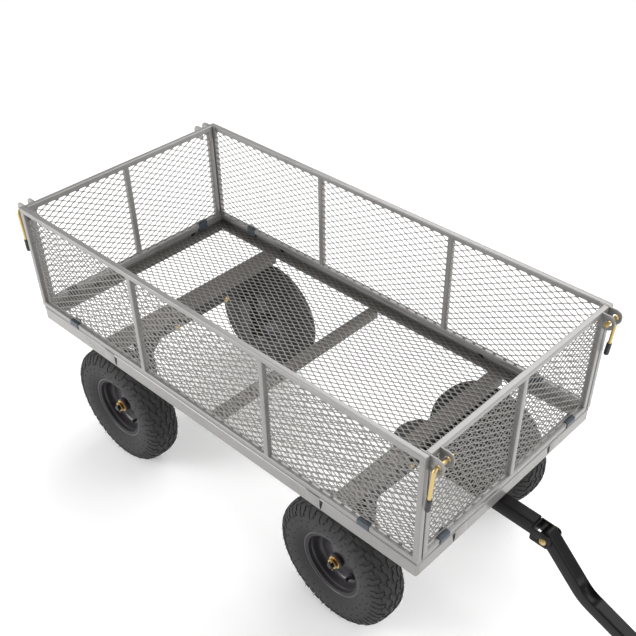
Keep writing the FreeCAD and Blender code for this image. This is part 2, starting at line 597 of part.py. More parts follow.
NODES["foam_grip"] = steer([foam.cut(
    Part.makeCylinder(LOOP_ROD_D / 2, FOAM_L + 2, at_loop(LOOP_L, -FOAM_L / 2 - 1), V(0, 1, 0)))])


# ---- wheels --------------------------------------------------------------------
def tyre(x, y, out):
    """Hollow tyre, open towards the rim."""
    r, w, lip = TYRE_D / 2, TYRE_W / 2, LIP_D / 2
    seat_r = lip - RIM_SEAT
    bead_w = RIM_W / 2 - RIM_T - 0.1
    tall = r - lip
    half = [(bead_w, seat_r), (bead_w, lip + 0.8), (bead_w + 5, lip + 4)]
    skin = [(0.95, 0.20), (1.0, 0.40), (0.99, 0.58), (0.94, 0.75), (0.84, 0.88), (0.62, 0.96),
            (0.30, 0.99), (0.0, 1.0)]
    outer = half + [(w * f, lip + tall * g) for f, g in skin]
    inner = [(bead_w - TYRE_WALL, seat_r), (bead_w - TYRE_WALL, lip)]
    inner += [(w * f - TYRE_WALL * (f > 0), lip + (tall - TYRE_WALL) * g) for f, g in skin
              if f > 0.35] + [(0.0, r - TYRE_WALL)]
    profile = outer + [(-a, b) for a, b in reversed(outer[:-1])]
    profile += [(-a, b) for a, b in inner[:-1]] + list(reversed(inner))
    return revolve_y(profile, x, y, AXLE_Z, out)


def valve_foot(x, y, out):
    """Inner end of the valve stem, behind the wheel disc."""
    reach, a = 0.72 * (LIP_D / 2 - RIM_SEAT - RIM_T), math.radians(VALVE_TURN)
    return V(x + reach * math.cos(a), y - out * 8, AXLE_Z - reach * math.sin(a))


def rim(x, y, out):
    """Pressed rim: barrel with lips, dished disc with the valve hole, and hub tube."""
    lip, w, t = LIP_D / 2, RIM_W / 2, RIM_T
    seat_r = lip - RIM_SEAT
    barrel = revolve_y([(-w, seat_r - t), (w, seat_r - t), (w, lip), (w - t, lip), (w - t, seat_r),
                        (-w + t, seat_r), (-w + t, lip), (-w, lip)], x, y, AXLE_Z, out)
    hub_r = HUB_D / 2
    face = [(3, seat_r - t), (-3, 0.84 * seat_r), (1, 0.6 * seat_r), (8, 0.4 * seat_r),
            (14, hub_r - 1)]
    disc = revolve_y(face + [(a - t, b) for a, b in reversed(face)], x, y, AXLE_Z, out)
    hub_y = sorted((y + out * HUB_OUT, out * HUB_IN))
    hub = cyl_y(x, AXLE_Z, HUB_D, *hub_y)
    valve_hole = Part.makeCylinder(VALVE_D / 2, 40, valve_foot(x, y, out), V(0, out, 0))
    shape = barrel.fuse([disc, hub]).cut(valve_hole)
    return shape.cut(cyl_y(x, AXLE_Z, AXLE_D + 2 * AXLE_FIT, hub_y[0] - 1, hub_y[1] + 1))


def valve(x, y, out):
    """Valve stem and cap standing in the dish."""
    foot, along = valve_foot(x, y, out), V(0, out, 0)
    stem = Part.makeCylinder(VALVE_D / 2, VALVE_L, foot, along)
    return stem.fuse(Part.makeCylinder(VALVE_D / 2 + 0.8, 8, foot + along * (VALVE_L - 6), along))


for name, x, out in (("rear_right", -AXLE_X, -1), ("rear_left", -AXLE_X, 1),
                     ("front_right", AXLE_X, -1), ("front_left", AXLE_X, 1)):
    pieces = [[make(x, out * WHEEL_Y, out)] for make in (tyre, rim, valve)]
    if x > 0:
        pieces = [steer(p) for p in pieces]
    for kind, shapes in zip(("tyre_", "rim_", "valve_"), pieces):
        NODES[kind + name] = shapes


# ---- write the files, with the origin on the floor under the middle of the cart ---
every = Part.makeCompound([s for shapes in NODES.values() for s in shapes])
whole = every.optimalBoundingBox(False, False)
shift = V(-(whole.XMin + whole.XMax) / 2, -(whole.YMin + whole.YMax) / 2, -whole.ZMin)
os.makedirs("parts", exist_ok=True)
for node, shapes in NODES.items():
    item = shapes[0] if len(shapes) == 1 else Part.makeCompound(shapes)
    item.translate(shift)
    item.exportStep("parts/" + node + ".step")
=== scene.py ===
"""Garden cart: a mesh-sided steel cart with air tyres, a steered front axle and a pull handle.

Each sub-assembly is a class that builds its own meshes and dresses them with its finishes.
Lengths are in metres; numbers passed to mm() are millimetres.
"""
from __future__ import annotations

import json
import logging
import math
import random
from dataclasses import dataclass, field
from enum import Enum
from typing import Any, Callable, Iterable, Sequence

import bmesh
import bpy
from mathutils import Matrix, Vector


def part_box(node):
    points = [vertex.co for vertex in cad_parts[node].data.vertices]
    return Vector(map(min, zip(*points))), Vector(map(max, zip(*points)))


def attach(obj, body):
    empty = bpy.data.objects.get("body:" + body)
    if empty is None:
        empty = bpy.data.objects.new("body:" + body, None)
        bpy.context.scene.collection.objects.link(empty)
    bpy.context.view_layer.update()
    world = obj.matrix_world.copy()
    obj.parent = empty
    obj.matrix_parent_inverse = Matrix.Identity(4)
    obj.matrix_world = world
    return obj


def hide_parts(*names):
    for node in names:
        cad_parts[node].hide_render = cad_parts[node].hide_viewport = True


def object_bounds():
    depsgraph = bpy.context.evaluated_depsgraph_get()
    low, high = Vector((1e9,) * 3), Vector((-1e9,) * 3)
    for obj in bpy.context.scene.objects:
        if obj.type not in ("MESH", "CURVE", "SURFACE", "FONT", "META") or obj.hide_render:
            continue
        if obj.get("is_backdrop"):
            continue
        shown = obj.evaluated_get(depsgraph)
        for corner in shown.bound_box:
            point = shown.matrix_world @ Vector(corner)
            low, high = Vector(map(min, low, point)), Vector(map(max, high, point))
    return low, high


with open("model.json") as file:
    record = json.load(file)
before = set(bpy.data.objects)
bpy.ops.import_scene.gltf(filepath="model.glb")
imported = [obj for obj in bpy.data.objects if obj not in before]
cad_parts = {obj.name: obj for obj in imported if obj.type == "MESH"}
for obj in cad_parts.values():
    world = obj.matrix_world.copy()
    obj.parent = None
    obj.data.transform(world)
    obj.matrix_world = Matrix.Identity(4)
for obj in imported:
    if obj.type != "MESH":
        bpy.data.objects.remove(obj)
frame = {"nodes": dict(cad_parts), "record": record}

LOG = logging.getLogger("garden_cart")
CAD_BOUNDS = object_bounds()
X_AXIS, Y_AXIS, Z_AXIS = (Vector(row) for row in Matrix.Identity(3))
TINY = 1e-6


def mm(*values: float) -> Any:
    """Millimetres to metres, for one number or several."""
    scaled = tuple(v * 0.001 for v in values)
    return scaled[0] if len(scaled) == 1 else scaled


# ---------------------------------------------------------------------------------------------
# Node trees
# ---------------------------------------------------------------------------------------------
class Value:
    """A number socket that turns Python arithmetic into Math nodes."""

    def __init__(self, nodes: Nodes, socket: Any) -> None:
        """Wraps one output socket of a node tree."""
        self.nodes, self.socket = nodes, socket

    def _math(self, operation: str, *terms: Any) -> Value:
        """Adds one Math node over the given terms."""
        node = self.nodes.add("ShaderNodeMath", {"operation": operation}, dict(enumerate(terms)))
        return Value(self.nodes, node.outputs[0])

    def __add__(self, other: Any) -> Value:
        """Sum."""
        return self._math("ADD", self, other)

    def __sub__(self, other: Any) -> Value:
        """Difference."""
        return self._math("SUBTRACT", self, other)

    def __rsub__(self, other: Any) -> Value:
        """Difference from a plain number."""
        return self._math("SUBTRACT", other, self)

    def __mul__(self, other: Any) -> Value:
        """Product."""
        return self._math("MULTIPLY", self, other)

    def __truediv__(self, other: Any) -> Value:
        """Quotient."""
        return self._math("DIVIDE", self, other)

    def clamp(self) -> Value:
        """Limited to 0..1."""
        return self._math("MINIMUM", self._math("MAXIMUM", self, 0.0), 1.0)

    def above(self, edge: float, soft: float) -> Value:
        """A step from 0 to 1, half way at the edge and as wide as soft."""
        return ((self - (edge - soft / 2)) / soft).clamp()


class Nodes:
    """A node tree that is built node by node."""

    def __init__(self, tree: bpy.types.NodeTree) -> None:
        """Takes the tree to build in."""
        self.tree = tree

    def add(self, kind: str, settings: dict | None = None, inputs: dict | None = None) -> Any:
        """Adds one node: settings first, then the values or links of its sockets.

        Args:
            kind: the node type.
            settings: properties of the node.
            inputs: values, sockets or Value objects by input name or number; a list links each.

        Returns:
            The new node.
        """
        node = self.tree.nodes.new(kind)
        for key, value in (settings or {}).items():
            setattr(node, key, value)
        for key, value in (inputs or {}).items():
            for item in (value if isinstance(value, list) else [value]):
                item = item.socket if isinstance(item, Value) else item
                if isinstance(item, bpy.types.NodeSocket):
                    self.tree.links.new(item, node.inputs[key])
                else:
                    node.inputs[key].default_value = item
        return node


class Shader(Nodes):
    """One material with a Principled surface."""

    def __init__(self, name: str, **uniform: Any) -> None:
        """Starts the material.

        Args:
            name: the material's name.
            uniform: numbers or colours that hold all over, by the shader's socket name.
        """
        self.material = bpy.data.materials.new(name)
        self.material.use_nodes = True
        super().__init__(self.material.node_tree)
        self.surface = next(n for n in self.tree.nodes if n.type == "BSDF_PRINCIPLED")
        for key, value in uniform.items():
            self.surface.inputs[key.replace("_", " ")].default_value = value
        self.place = self.add("ShaderNodeTexCoord").outputs["Object"]

    def noise(self, scale: float, detail: float = 3.0, rough: float = 0.55) -> Value:
        """Noise over the piece.

        Args:
            scale: features per metre.
            detail: octaves of the noise.
            rough: roughness of the octaves.

        Returns:
            The noise factor.
        """
        node = self.add("ShaderNodeTexNoise", {}, {"Vector": self.place, "Scale": scale,
                                                   "Detail": detail, "Roughness": rough})
        return Value(self, node.outputs["Fac"])

    def ramp(self, factor: Value, stops: Sequence[tuple]) -> Any:
        """Colour ramp over a factor.

        Args:
            factor: what the ramp reads.
            stops: (position, colour) pairs, at least two.

        Returns:
            The colour's socket.
        """
        node = self.add("ShaderNodeValToRGB", {}, {"Fac": factor})
        elements = node.color_ramp.elements
        while len(elements) < len(stops):
            elements.new(0.5)
        for element, (at, colour) in zip(elements, stops):
            element.position, element.color = at, (*colour, 1.0)
        return node.outputs["Color"]

    def mix(self, factor: Any, a: Any, b: Any) -> Any:
        """Mixes two colours.

        Args:
            factor: share of the second colour.
            a: first colour, as a socket or (r, g, b).
            b: second colour.

        Returns:
            The mixed colour's socket.
        """
        a, b = ((*c, 1.0) if isinstance(c, tuple) else c for c in (a, b))
        node = self.add("ShaderNodeMix", {"data_type": "RGBA"}, {0: factor, 6: a, 7: b})
        return node.outputs[2]

    def edge_wear(self, radius: float) -> Value:
        """How sharply the surface turns at a point.

        Args:
            radius: how far from an edge the wear reaches, in metres.

        Returns:
            0 on a flat to 1 on an edge.
        """
        geometry = self.add("ShaderNodeNewGeometry")
        rounded_off = self.add("ShaderNodeBevel", {"samples": 4}, {"Radius": radius})
        dot = self.add("ShaderNodeVectorMath", {"operation": "DOT_PRODUCT"},
                       {0: geometry.outputs["Normal"], 1: rounded_off.outputs["Normal"]})
        return (1.0 - Value(self, dot.outputs["Value"])).above(0.06, 0.1)

    def bump(self, height: Value, strength: float, distance: float) -> None:
        """Feeds a height into the surface's normal.

        Args:
            height: the height field.
            strength: share of the effect.
            distance: height of a full step, in metres.
        """
        node = self.add("ShaderNodeBump", {}, {"Height": height, "Strength": strength,
                                               "Distance": distance})
        self.link("Normal", node.outputs["Normal"])

    def link(self, socket: str, source: Any) -> None:
        """Links a value or colour to a socket of the surface."""
        source = source.socket if isinstance(source, Value) else source
        self.tree.links.new(source, self.surface.inputs[socket])


# ---------------------------------------------------------------------------------------------
# Finishes
# ---------------------------------------------------------------------------------------------
Colour = tuple[float, float, float]


@dataclass(frozen=True)
class PowderCoat:
    """Sprayed and baked paint: fine orange peel, light dust and rubbed edges."""

    name: str
    colour: Colour
    rough: float = 0.42
    metallic: float = 0.0
    grain: float = 0.05
    wear: float = 0.12
    peel: float = 0.25
    gloss: float = 0.5

    def material(self) -> bpy.types.Material:
        """Builds the material."""
        s = Shader(self.name, Metallic=self.metallic, Specular_IOR_Level=self.gloss)
        cloud, speck = s.noise(9.0, 4.0), s.noise(2600.0, 2.0)
        light = tuple(min(1.0, c * (1 + self.grain) + 0.004) for c in self.colour)
        dark = tuple(c * (1 - self.grain) for c in self.colour)
        base = s.mix((cloud * 0.6 + speck * 0.4).above(0.5, 0.35), dark, light)
        rubbed = tuple(min(1.0, c * 1.35 + 0.02) for c in self.colour)
        base = s.mix(s.edge_wear(0.0012) * self.wear * (cloud + 0.4), base, rubbed)
        s.link("Base Color", base)
        s.link("Roughness", (speck * 0.1 + cloud * 0.14 + (self.rough - 0.12)).clamp())
        s.bump(s.noise(900.0, 1.0) + speck * 0.4, self.peel, 0.00012)
        return s.material


@dataclass(frozen=True)
class YellowZinc:
    """Yellow passivated zinc: golden with faint pink and green patches."""

    name: str = "yellow_zinc"

    def material(self) -> bpy.types.Material:
        """Builds the material."""
        s = Shader(self.name, Metallic=1.0)
        film = s.noise(190.0, 2.0, 0.5)
        colour = s.ramp(film, [(0.32, (0.30, 0.09, 0.035)), (0.45, (0.52, 0.25, 0.035)),
                               (0.56, (0.74, 0.47, 0.08)), (0.68, (0.26, 0.30, 0.06))])
        s.link("Base Color", colour)
        s.link("Roughness", s.noise(700.0) * 0.2 + 0.1)
        s.bump(s.noise(1800.0, 2.0), 0.18, 0.00008)
        return s.material


@dataclass(frozen=True)
class TyreRubber:
    """Moulded tyre rubber: dull, slightly blue, with pale release dust in patches."""

    name: str = "tyre_rubber"

    def material(self) -> bpy.types.Material:
        """Builds the material."""
        s = Shader(self.name, Specular_IOR_Level=0.42)
        patch, fine = s.noise(26.0, 5.0), s.noise(850.0, 3.0)
        dusty = patch.above(0.56, 0.3) * 0.5 + fine * 0.3
        s.link("Base Color", s.mix(dusty, (0.031, 0.028, 0.032), (0.060, 0.055, 0.060)))
        s.link("Roughness", (patch * 0.22 + fine * 0.12 + 0.46).clamp())
        s.bump(fine + s.noise(240.0, 2.0) * 0.8, 0.35, 0.00035)
        return s.material


@dataclass(frozen=True)
class MouldedPlastic:
    """Injection-moulded plastic with a fine spark-eroded texture."""

    name: str
    colour: Colour
    rough: float = 0.42

    def material(self) -> bpy.types.Material:
        """Builds the material."""
        s = Shader(self.name)
        cloud, fine = s.noise(60.0, 3.0), s.noise(2400.0, 2.0)
        light = tuple(c * 1.25 + 0.004 for c in self.colour)
        shade = (cloud * 0.7 + fine * 0.3).above(0.5, 0.5)
        s.link("Base Color", s.mix(shade, self.colour, light))
        s.link("Roughness", (fine * 0.14 + cloud * 0.1 + (self.rough - 0.12)).clamp())
        s.bump(fine, 0.3, 0.00009)
        return s.material


@dataclass(frozen=True)
class FoamSkin:
    """Closed-cell foam sleeve: matt with fine open pits."""

    name: str = "foam"

    def material(self) -> bpy.types.Material:
        """Builds the material."""
        s = Shader(self.name, Specular_IOR_Level=0.3)
        cells = s.add("ShaderNodeTexVoronoi", {}, {"Vector": s.place, "Scale": 1100.0})
        pits = Value(s, cells.outputs["Distance"])
        base = s.mix(pits.above(0.35, 0.4), (0.012, 0.012, 0.013), (0.034, 0.033, 0.034))
        s.link("Base Color", base)
        s.link("Roughness", s.noise(70.0) * 0.15 + 0.72)
        s.bump(pits + s.noise(160.0) * 0.6, 0.6, 0.0004)
        return s.material


class Finish(Enum):
    """The cart's finishes: the recipe that makes the material, and the record's slot it fills."""

    SILVER = (PowderCoat("silver_grey_coat", (0.275, 0.268, 0.260), 0.30, 0.35, 0.05, 0.3),
              "body_paint")
    MESH = PowderCoat("mesh_coat", (0.222, 0.212, 0.200), 0.42, 0.2, 0.06, 0.2), "body_paint"
    MEMBER = PowderCoat("member_coat", (0.124, 0.113, 0.103), 0.5, 0.1, 0.08, 0.2), "member_paint"
    CHASSIS = (PowderCoat("chassis_black", (0.008, 0.0075, 0.008), 0.34, 0.0, 0.1, 0.05, 0.25,
                          0.35), "member_paint")
    HANDLE = (PowderCoat("handle_black", (0.0052, 0.0043, 0.0045), 0.36, 0.0, 0.12, 0.08, 0.4,
                         0.19), "handle_paint")
    WHEEL = (PowderCoat("wheel_black", (0.042, 0.038, 0.043), 0.33, 0.0, 0.1, 0.04, 0.10),
             "wheel_paint")
    ZINC = YellowZinc(), "yellow_zinc"
    COPPER = PowderCoat("hub_seal", (0.50, 0.19, 0.06), 0.34, 0.8, 0.12, 0.1), "yellow_zinc"
    RUBBER = TyreRubber(), "tyre_rubber"
    CLIP = MouldedPlastic("clip_nylon", (0.030, 0.043, 0.056), 0.36), "clip_plastic"
    VINYL = MouldedPlastic("dipped_vinyl", (0.016, 0.016, 0.017), 0.44), "pin_sleeve"
    VALVE = MouldedPlastic("valve_rubber", (0.010, 0.010, 0.011), 0.5), "valve_rubber"
    FOAM = FoamSkin(), "foam"

    def __init__(self, recipe: Any, slot: str) -> None:
        """Takes the recipe and the slot."""
        self.recipe, self.slot = recipe, slot

    def material(self) -> bpy.types.Material:
        """The finish's material, made the first time it is asked for."""
        return bpy.data.materials.get(self.recipe.name) or self.recipe.material()


# ---------------------------------------------------------------------------------------------
# Mesh helpers
# ---------------------------------------------------------------------------------------------
def keep(mesh: bpy.types.Mesh, name: str, finish: Finish, body: str,
         nodes: Sequence[str] = (), smooth: float = 35.0) -> bpy.types.Object:
    """Makes a finished piece of a mesh whose place is in its points.

    Args:
        mesh: the piece's mesh, in the frame.
        name: the piece's name.
        finish: the finish that covers it.
        body: the CAD body it rides on.
        nodes: the CAD nodes it stands for.
        smooth: the angle in degrees under which faces are shaded smooth.

    Returns:
        The piece's object.
    """
    mesh.materials.clear()
    mesh.materials.append(finish.material())
    mesh.shade_smooth()
    mesh.set_sharp_from_angle(angle=math.radians(smooth))
    piece = bpy.data.objects.new(name, mesh)
    bpy.context.scene.collection.objects.link(piece)
    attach(piece, body)
    if nodes:
        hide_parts(*nodes)
    return piece


def dress(node: str, finish: Finish) -> None:
    """Gives a CAD node that stays in view its finish.

    Args:
        node: the node's name.
        finish: the finish it takes.
    """
    obj = frame["nodes"][node]
    if not obj.material_slots:
        obj.data.materials.append(None)
    for place in obj.material_slots:
        place.material = finish.material()


def baked(obj: bpy.types.Object) -> bpy.types.Mesh:
    """The plain mesh of an object with its modifiers, which is then removed.

    Args:
        obj: a helper object, not yet made into a piece.

    Returns:
        The evaluated mesh.
    """
    bpy.context.view_layer.update()
    seen = obj.evaluated_get(bpy.context.evaluated_depsgraph_get())
    mesh = bpy.data.meshes.new_from_object(seen)
    mesh.transform(obj.matrix_world)
    bpy.data.objects.remove(obj)
    return mesh


def helper(data: Any, name: str = "helper") -> bpy.types.Object:
    """A linked object that only serves to evaluate modifiers or a curve.

    Args:
        data: the mesh, curve, camera or light it shows.
        name: the object's name.

    Returns:
        The object.
    """
    obj = bpy.data.objects.new(name, data)
    bpy.context.scene.collection.objects.link(obj)
    return obj


def from_bmesh(bm: bmesh.types.BMesh, recalc: bool = True) -> bpy.types.Mesh:
    """Closes a bmesh into a mesh.

    Args:
        bm: the bmesh, freed afterwards.
        recalc: merge doubles and turn the faces outwards first.

    Returns:
        The new mesh.
    """
    if recalc:
        bmesh.ops.remove_doubles(bm, verts=bm.verts, dist=TINY)
        bmesh.ops.recalc_face_normals(bm, faces=bm.faces)
    mesh = bpy.data.meshes.new("part")
    bm.to_mesh(mesh)
    bm.free()
    return mesh


def joined(meshes: Iterable[bpy.types.Mesh]) -> bpy.types.Mesh:
    """One mesh of several.

    Args:
        meshes: the parts, which are removed.

    Returns:
        The mesh.
    """
    bm = bmesh.new()
    for mesh in meshes:
        bm.from_mesh(mesh)
        bpy.data.meshes.remove(mesh)
    return from_bmesh(bm, recalc=False)


def moved(mesh: bpy.types.Mesh, *steps: Matrix) -> bpy.types.Mesh:
    """The mesh after the given transforms, first to last, with its faces kept outward."""
    for step in steps:
        mesh.transform(step)
        if step.determinant() < 0:
            mesh.flip_normals()
    return mesh


def copied(mesh: bpy.types.Mesh, *steps: Matrix) -> bpy.types.Mesh:
    """A transformed copy of a mesh."""
    return moved(mesh.copy(), *steps)


def shift(x: float = 0.0, y: float = 0.0, z: float = 0.0) -> Matrix:
    """A translation."""
    return Matrix.Translation((x, y, z))


def turn(degrees: float, axis: str = "Z") -> Matrix:
    """A rotation about an axis through the origin."""
    return Matrix.Rotation(math.radians(degrees), 4, axis)


FLIP_X = Matrix.Diagonal((-1.0, 1.0, 1.0, 1.0))
FLIP_Y = Matrix.Diagonal((1.0, -1.0, 1.0, 1.0))


def cuboid(lo: Sequence[float], hi: Sequence[float]) -> bmesh.types.BMesh:
    """A sharp-edged box.

    Args:
        lo: lowest corner.
        hi: highest corner.

    Returns:
        The open bmesh.
    """
    bm = bmesh.new()
    bmesh.ops.create_cube(bm, size=1.0)
    for v in bm.verts:
        v.co = Vector((a + (b - a) * (c + 0.5) for a, b, c in zip(Vector(lo), Vector(hi), v.co)))
    return bm


def bevelled(bm: bmesh.types.BMesh, edges: list, radius: float, segments: int) -> None:
    """Rounds some edges of a bmesh."""
    bmesh.ops.bevel(bm, geom=edges, offset=radius, segments=segments, profile=0.5, affect="EDGES")


def block(lo: Sequence[float], hi: Sequence[float], radius: float, segments: int) -> bpy.types.Mesh:
    """A box with rounded edges.

    Args:
        lo: lowest corner.
        hi: highest corner.
        radius: edge radius.
        segments: steps around each edge.

    Returns:
        The mesh.
    """
    bm = cuboid(lo, hi)
    bevelled(bm, bm.edges[:], radius, segments)
    return from_bmesh(bm)


def square_tube(lo: Sequence[float], hi: Sequence[float], axis: int,
                radius: float) -> bpy.types.Mesh:
    """A closed-ended tube length whose four long edges are rounded.

    Args:
        lo: lowest corner.
        hi: highest corner.
        axis: the tube's direction, 0 to 2.
        radius: corner radius of the section.

    Returns:
        The mesh.
    """
    bm = cuboid(lo, hi)

    def along(edge: bmesh.types.BMEdge) -> float:
        """How far an edge runs in the tube's direction."""
        return abs((edge.verts[0].co - edge.verts[1].co)[axis])

    bevelled(bm, [e for e in bm.edges if along(e) > 0.5 * (hi[axis] - lo[axis])], radius, 3)
    ends = [e for e in bm.edges if along(e) < TINY and e.calc_face_angle(0.0) > 1.0]
    bevelled(bm, ends, mm(0.4), 1)
    return from_bmesh(bm)


def plate(outline: Sequence[tuple], holes: Sequence[Sequence[tuple]], thickness: float,
          bevel: float = mm(0.4)) -> bpy.types.Mesh:
    """A flat plate in the XY plane, centred on z = 0, with softened edges.

    Args:
        outline: corner points of the outer edge.
        holes: corner points of each hole.
        thickness: plate thickness.
        bevel: edge radius.

    Returns:
        The mesh.
    """
    curve = bpy.data.curves.new("plate", "CURVE")
    curve.dimensions, curve.fill_mode = "2D", "BOTH"
    curve.extrude, curve.bevel_depth, curve.bevel_resolution = thickness / 2 - bevel, bevel, 1
    curve.offset = -bevel
    for points in (outline, *holes):
        spline = curve.splines.new("POLY")
        spline.points.add(len(points) - 1)
        for point, (x, y) in zip(spline.points, points):
            point.co = (x, y, 0.0, 1.0)
        spline.use_cyclic_u = True
    bm = bmesh.new()
    bm.from_mesh(baked(helper(curve)))
    return from_bmesh(bm)


def ring_points(radius: float, count: int = 28, centre: tuple = (0.0, 0.0), start: float = 0.0,
                sweep: float = 360.0) -> list[tuple]:
    """Points on a circle or an arc.

    Args:
        radius: circle radius.
        count: number of points; an arc has one more.
        centre: the circle's centre.
        start: first angle in degrees.
        sweep: angle covered.

    Returns:
        The points.
    """
    total = count if sweep >= 360.0 else count + 1
    angles = [math.radians(start + sweep * k / count) for k in range(total)]
    return [(centre[0] + radius * math.cos(a), centre[1] + radius * math.sin(a)) for a in angles]


def rounded(points: Sequence[tuple], radii: Sequence[float], steps: int = 5) -> list[tuple]:
    """A polygon with its corners rounded.

    Args:
        points: the corners.
        radii: a radius for each corner.
        steps: pieces of each arc.

    Returns:
        The rounded outline.
    """
    out = []
    for k, (corner, r) in enumerate(zip(points, radii)):
        c = Vector(corner)
        a, b = Vector(points[k - 1]) - c, Vector(points[(k + 1) % len(points)]) - c
        if r <= 0:
            out.append(tuple(c))
            continue
        half = a.angle(b) / 2
        reach = r / math.tan(half)
        p, q = c + a.normalized() * reach, c + b.normalized() * reach
        centre = c + (a.normalized() + b.normalized()).normalized() * (r / math.sin(half))
        for j in range(steps + 1):
            d = (p - centre).lerp(q - centre, j / steps)
            out.append(tuple(centre + d.normalized() * r))
    return out


def lathe(profile: Sequence[tuple], steps: int = 96, closed: bool = True) -> bpy.types.Mesh:
    """A solid turned about the Y axis.

    Args:
        profile: (y, radius) points of the section.
        steps: facets around.
        closed: join the last point to the first; otherwise the ends lie on the axis.

    Returns:
        The mesh.
    """
    bm = bmesh.new()
    rows = []
    for y, r in profile:
        if r < TINY:
            rows.append([bm.verts.new((0.0, y, 0.0))] * steps)
            continue
        rows.append([bm.verts.new((r * math.cos(a), y, r * math.sin(a)))
                     for a in (math.tau * k / steps for k in range(steps))])
    pairs = list(zip(rows, rows[1:])) + ([(rows[-1], rows[0])] if closed else [])
    for low, high in pairs:
        for k in range(steps):
            j = (k + 1) % steps
            loop = list(dict.fromkeys([low[k], low[j], high[j], high[k]]))
            if len(loop) > 2:
                bm.faces.new(loop)
    return from_bmesh(bm)


def smooth_profile(points: Sequence[tuple], per_span: int = 4) -> list[tuple]:
    """Catmull-Rom curve through open profile points.

    Args:
        points: the points to pass through.
        per_span: pieces between neighbouring points.

    Returns:
        The finer profile.
    """
    pts = [Vector(p) for p in points]
    pts = [pts[0] * 2 - pts[1]] + pts + [pts[-1] * 2 - pts[-2]]
    out = []
    for a, b, c, d in zip(pts, pts[1:], pts[2:], pts[3:]):
        for k in range(per_span):
            t = k / per_span
            p = 0.5 * (2 * b + (c - a) * t + (2 * a - 5 * b + 4 * c - d) * t * t
                       + (3 * b - a - 3 * c + d) * t ** 3)
            out.append(tuple(p))
    out.append(tuple(pts[-2]))
    return out


def bent_path(points: Sequence[Sequence[float]], radius: float, steps: int = 8) -> list[Vector]:
    """A polyline whose inner corners are replaced by arcs.

    Args:
        points: the corner points.
        radius: bend radius.
        steps: pieces of each bend.

    Returns:
        The path's points.
    """
    pts = [Vector(p) for p in points]
    out = [pts[0]]
    for a, b, c in zip(pts, pts[1:], pts[2:]):
        u, w = (a - b).normalized(), (c - b).normalized()
        half = u.angle(w) / 2
        centre = b + (u + w).normalized() * (radius / math.sin(half))
        p, q = b + u * radius / math.tan(half), b + w * radius / math.tan(half)
        spoke = p - centre
        axis, whole = spoke.cross(q - centre), spoke.angle(q - centre)
        out += [centre + Matrix.Rotation(whole * k / steps, 3, axis) @ spoke
                for k in range(steps + 1)]
    return out + [pts[-1]]


def sweep(path: Sequence[Vector], section: Sequence[tuple], up: Vector,
          shape: Callable[[float, float, float], tuple] | None = None) -> bpy.types.Mesh:
    """A closed bar that follows a path.

    Args:
        path: the path's points.
        section: (side, up) points of the section.
        up: direction that the section's second axis leans to.
        shape: changes a section point (distance, side, up) into another (side, up).

    Returns:
        The mesh.
    """
    bm, rows, gone = bmesh.new(), [], 0.0
    for k, point in enumerate(path):
        ahead = path[min(k + 1, len(path) - 1)] - path[max(k - 1, 0)]
        forward = ahead.normalized()
        side = forward.cross(up).normalized()
        top = side.cross(forward)
        gone += (point - path[k - 1]).length if k else 0.0
        ring = [shape(gone, s, t) if shape else (s, t) for s, t in section]
        rows.append([bm.verts.new(point + side * s + top * t) for s, t in ring])
    for low, high in zip(rows, rows[1:]):
        for k in range(len(section)):
            j = (k + 1) % len(section)
            bm.faces.new([low[k], low[j], high[j], high[k]])
    bm.faces.new(rows[0])
    bm.faces.new(rows[-1])
    return from_bmesh(bm)


def rod(path: Sequence[Vector], radius: float, sides: int = 14) -> bpy.types.Mesh:
    """A round bar along a path, its ends chamfered.

    Args:
        path: the path's points.
        radius: bar radius.
        sides: facets around.

    Returns:
        The mesh.
    """
    first, last = (path[1] - path[0]).normalized(), (path[-1] - path[-2]).normalized()
    chamfer, drawn_in, steep = radius * 0.28, 0.72, 0.8
    inner = [path[0], path[0] + first * chamfer, *path[1:-1], path[-1] - last * chamfer, path[-1]]
    total = sum((b - a).length for a, b in zip(inner, inner[1:]))

    def taper(gone: float, s: float, t: float) -> tuple:
        """Draws the section in over the first and last steps."""
        near = gone < chamfer * 0.5 or gone > total - chamfer * 0.5
        return (s * drawn_in, t * drawn_in) if near else (s, t)

    lean = Z_AXIS if abs(first.z) < steep and abs(last.z) < steep else X_AXIS
    return sweep(inner, ring_points(radius, sides), lean, taper)


def band(bm: bmesh.types.BMesh, near: list, far: list) -> None:
    """Joins two loops of points by a ring of faces."""
    for k, (a, b) in enumerate(zip(near, far)):
        j = (k + 1) % len(near)
        bm.faces.new([a, near[j], far[j], b])


def upright(half: float, low: float, top: float) -> list[tuple]:
    """Corner points of a rectangle that is centred across."""
    return [(-half, top), (-half, low), (half, low), (half, top)]


def hexagon(flats: float) -> list[tuple]:
    """Corner points of a hexagon of the given width across flats."""
    return ring_points(flats / math.sqrt(3), 6)


